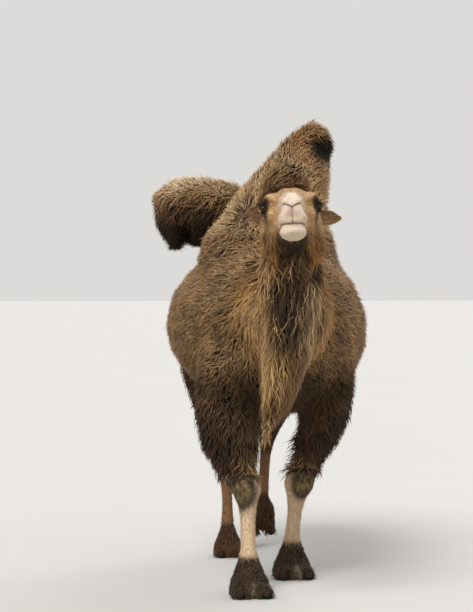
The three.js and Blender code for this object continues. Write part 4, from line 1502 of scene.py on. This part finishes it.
def nail_material(horn_light):
    """Dark horn with growth lines and a little dust."""
    material, graph, shader = new_material("Toenail horn", 0.85, 0.06)
    place = graph.place()
    lines = graph.noise(graph.stretched(place, (0.25, 1, 0.9)), 190.0, 3.0, 0.6)
    worn = graph.noise(place, 35.0, 3.0, 0.6)
    horn = graph.blend(lines, (0.008, 0.006, 0.004, 1), [*horn_light, 1])
    dusty = graph.blend(graph.math("MULTIPLY", worn, 0.12), horn, (0.2, 0.15, 0.1, 1))
    graph.feed(shader.inputs["Base Color"], dusty)
    add_bump(graph, shader, lines, 0.5, 0.0015)
    return material


def floor_material(colour):
    """Matt pale floor with the faintest cloudiness."""
    material, graph, shader = new_material("Floor", 0.9, 0.1)
    cloud = graph.noise(graph.place(), 0.8, 2.0, 0.5)
    darker = [c * 0.96 for c in colour[:3]] + [1]
    graph.feed(shader.inputs["Base Color"], graph.blend(cloud, darker, [*colour[:3], 1]))
    return material


# ---------------------------------------------------------------- stage

FLOOR_SIZE = 240
FROM_FRONT = (-0.45, -0.75, 1.0)
FROM_BEHIND = (0.6, 0.9, 0.9)
RIM_SHARE = 0.45  # the strength of the lamp behind, compared with the main lamp


def add_sun(name, toward, strength, spread):
    """A wide, soft lamp far away in that direction. spread is its width in degrees."""
    lamp = bpy.data.lights.new(name, "SUN")
    lamp.energy = strength
    lamp.angle = math.radians(spread)
    obj = bpy.data.objects.new(name, lamp)
    obj.location = Vector(toward) * 6
    obj.rotation_euler = (-Vector(toward)).to_track_quat("-Z", "Y").to_euler()
    bpy.context.scene.collection.objects.link(obj)


class CAMEL_OT_stage(bpy.types.Operator):
    """Sets the floor, soft lamps and the camera"""

    bl_idname = "camel.stage"
    bl_label = "Stage"

    def execute(self, context):
        scene = context.scene
        stage = scene.camel_stage
        deselect()
        bpy.ops.mesh.primitive_plane_add(size=FLOOR_SIZE)
        floor = bpy.context.object
        floor.name = "floor"
        floor.data.materials.append(floor_material(stage.floor))

        world = bpy.data.worlds.new("Soft sky")
        world.use_nodes = True
        sky = world.node_tree.nodes["Background"]
        sky.inputs["Color"].default_value = (1.0, 0.985, 0.96, 1)
        sky.inputs["Strength"].default_value = stage.sky
        scene.world = world
        add_sun("key", FROM_FRONT, stage.key, spread=28)
        add_sun("rim", FROM_BEHIND, stage.key * RIM_SHARE, spread=40)

        scene.view_settings.view_transform = "Standard"
        camera = bpy.data.cameras.new("camera")
        camera.lens = stage.lens
        camera.sensor_width = 36
        obj = bpy.data.objects.new("camera", camera)
        obj.location = stage.camera
        obj.rotation_euler = (math.pi / 2 - stage.pitch, 0, -stage.turn)
        scene.collection.objects.link(obj)
        scene.camera = obj
        return {"FINISHED"}


# ---------------------------------------------------------------- properties and panel


class CamelSkin(bpy.types.PropertyGroup):
    """How the skin is built"""

    voxel: bpy.props.FloatProperty(
        name="Grain", description="Size of the cells that the skin is first built from",
        default=0.007, min=0.004, max=0.02, unit="LENGTH")
    rounding: bpy.props.IntProperty(
        name="Rounding", description="How often the body's surface is smoothed", default=30, min=0, max=200)
    kept: bpy.props.FloatProperty(
        name="Kept faces", description="Share of the faces that is kept where the coat hides the skin",
        default=0.29, min=0.05, max=1, subtype="FACTOR")


class CamelCoat(bpy.types.PropertyGroup):
    """How the coat grows"""

    density: bpy.props.FloatProperty(
        name="Density", description="Number of locks compared with a full winter coat",
        default=1.0, min=0.1, max=1.2, subtype="FACTOR")
    length: bpy.props.FloatProperty(
        name="Length", description="Length of the locks compared with a full winter coat",
        default=1.0, min=0.2, max=1.2, subtype="FACTOR")
    width: bpy.props.FloatProperty(
        name="Width", description="Width of the locks compared with a full winter coat",
        default=1.0, min=0.4, max=1.5, subtype="FACTOR")


class CamelColours(bpy.types.PropertyGroup):
    """The main colours"""

    wool_dark: bpy.props.FloatVectorProperty(
        name="Wool, deep", description="Colour at the roots of the trunk's wool",
        default=COATS["trunk"].dark.tolist(), min=0, max=1, subtype="COLOR")
    wool_light: bpy.props.FloatVectorProperty(
        name="Wool, tips", description="Colour at the tips of the trunk's wool",
        default=COATS["trunk"].light.tolist(), min=0, max=1, subtype="COLOR")
    muzzle: bpy.props.FloatVectorProperty(
        name="Muzzle", description="Palest colour of the lips and nose",
        default=rgb(220, 202, 184).tolist(), min=0, max=1, subtype="COLOR")
    iris: bpy.props.FloatVectorProperty(
        name="Iris", description="Lightest colour of the iris",
        default=(0.036, 0.017, 0.009), min=0, max=1, subtype="COLOR")
    horn: bpy.props.FloatVectorProperty(
        name="Nails", description="Lightest colour of the clean horn of the toenails",
        default=(0.020, 0.014, 0.009), min=0, max=1, subtype="COLOR")


class CamelStage(bpy.types.PropertyGroup):
    """Floor, light and camera"""

    floor: bpy.props.FloatVectorProperty(
        name="Floor", description="Colour of the floor",
        default=(0.50, 0.49, 0.47), min=0, max=1, subtype="COLOR")
    sky: bpy.props.FloatProperty(
        name="Sky", description="Brightness of the light from all round", default=0.72, min=0, max=5)
    key: bpy.props.FloatProperty(
        name="Key", description="Strength of the main lamp", default=2.9, min=0)
    camera: bpy.props.FloatVectorProperty(
        name="Camera", description="Where the camera stands",
        default=(-1.270, -8.942, 1.45), unit="LENGTH", subtype="TRANSLATION")
    turn: bpy.props.FloatProperty(
        name="Turn", description="How far the camera turns right from straight ahead",
        default=math.radians(7.0), unit="ROTATION", subtype="ANGLE")
    pitch: bpy.props.FloatProperty(
        name="Pitch", description="How far the camera looks down",
        default=math.radians(0.8), unit="ROTATION", subtype="ANGLE")
    lens: bpy.props.FloatProperty(
        name="Lens", description="Focal length for a 36 mm wide sensor",
        default=110, min=10, max=300, unit="CAMERA")


OPERATORS = [CAMEL_OT_skin, CAMEL_OT_wool, CAMEL_OT_humps, CAMEL_OT_mane, CAMEL_OT_legs, CAMEL_OT_face,
             CAMEL_OT_eyes, CAMEL_OT_lashes, CAMEL_OT_toenails, CAMEL_OT_stage]


class CAMEL_PT_panel(bpy.types.Panel):
    """Lists the sizes and the steps"""

    bl_idname = "CAMEL_PT_panel"
    bl_label = "Two-humped camel"
    bl_space_type = "VIEW_3D"
    bl_region_type = "UI"
    bl_category = "Camel"

    def draw(self, context):
        scene = context.scene
        for group in (scene.camel_skin, scene.camel_coat, scene.camel_colours, scene.camel_stage):
            box = self.layout.box()
            for name in group.__annotations__:
                box.prop(group, name)
        for operator in OPERATORS:
            self.layout.operator(operator.bl_idname)


CLASSES = [CamelSkin, CamelCoat, CamelColours, CamelStage, *OPERATORS, CAMEL_PT_panel]


def register():
    for cls in CLASSES:
        bpy.utils.register_class(cls)
    bpy.types.Scene.camel_skin = bpy.props.PointerProperty(type=CamelSkin)
    bpy.types.Scene.camel_coat = bpy.props.PointerProperty(type=CamelCoat)
    bpy.types.Scene.camel_colours = bpy.props.PointerProperty(type=CamelColours)
    bpy.types.Scene.camel_stage = bpy.props.PointerProperty(type=CamelStage)


def unregister():
    del bpy.types.Scene.camel_stage
    del bpy.types.Scene.camel_colours
    del bpy.types.Scene.camel_coat
    del bpy.types.Scene.camel_skin
    for cls in reversed(CLASSES):
        bpy.utils.unregister_class(cls)


def main():
    register()
    bpy.ops.camel.skin()
    bpy.ops.camel.wool()
    bpy.ops.camel.humps()
    bpy.ops.camel.mane()
    bpy.ops.camel.legs()
    bpy.ops.camel.face()
    bpy.ops.camel.eyes()
    bpy.ops.camel.lashes()
    bpy.ops.camel.toenails()
    bpy.ops.camel.stage()


if __name__ == "__main__":
    main()
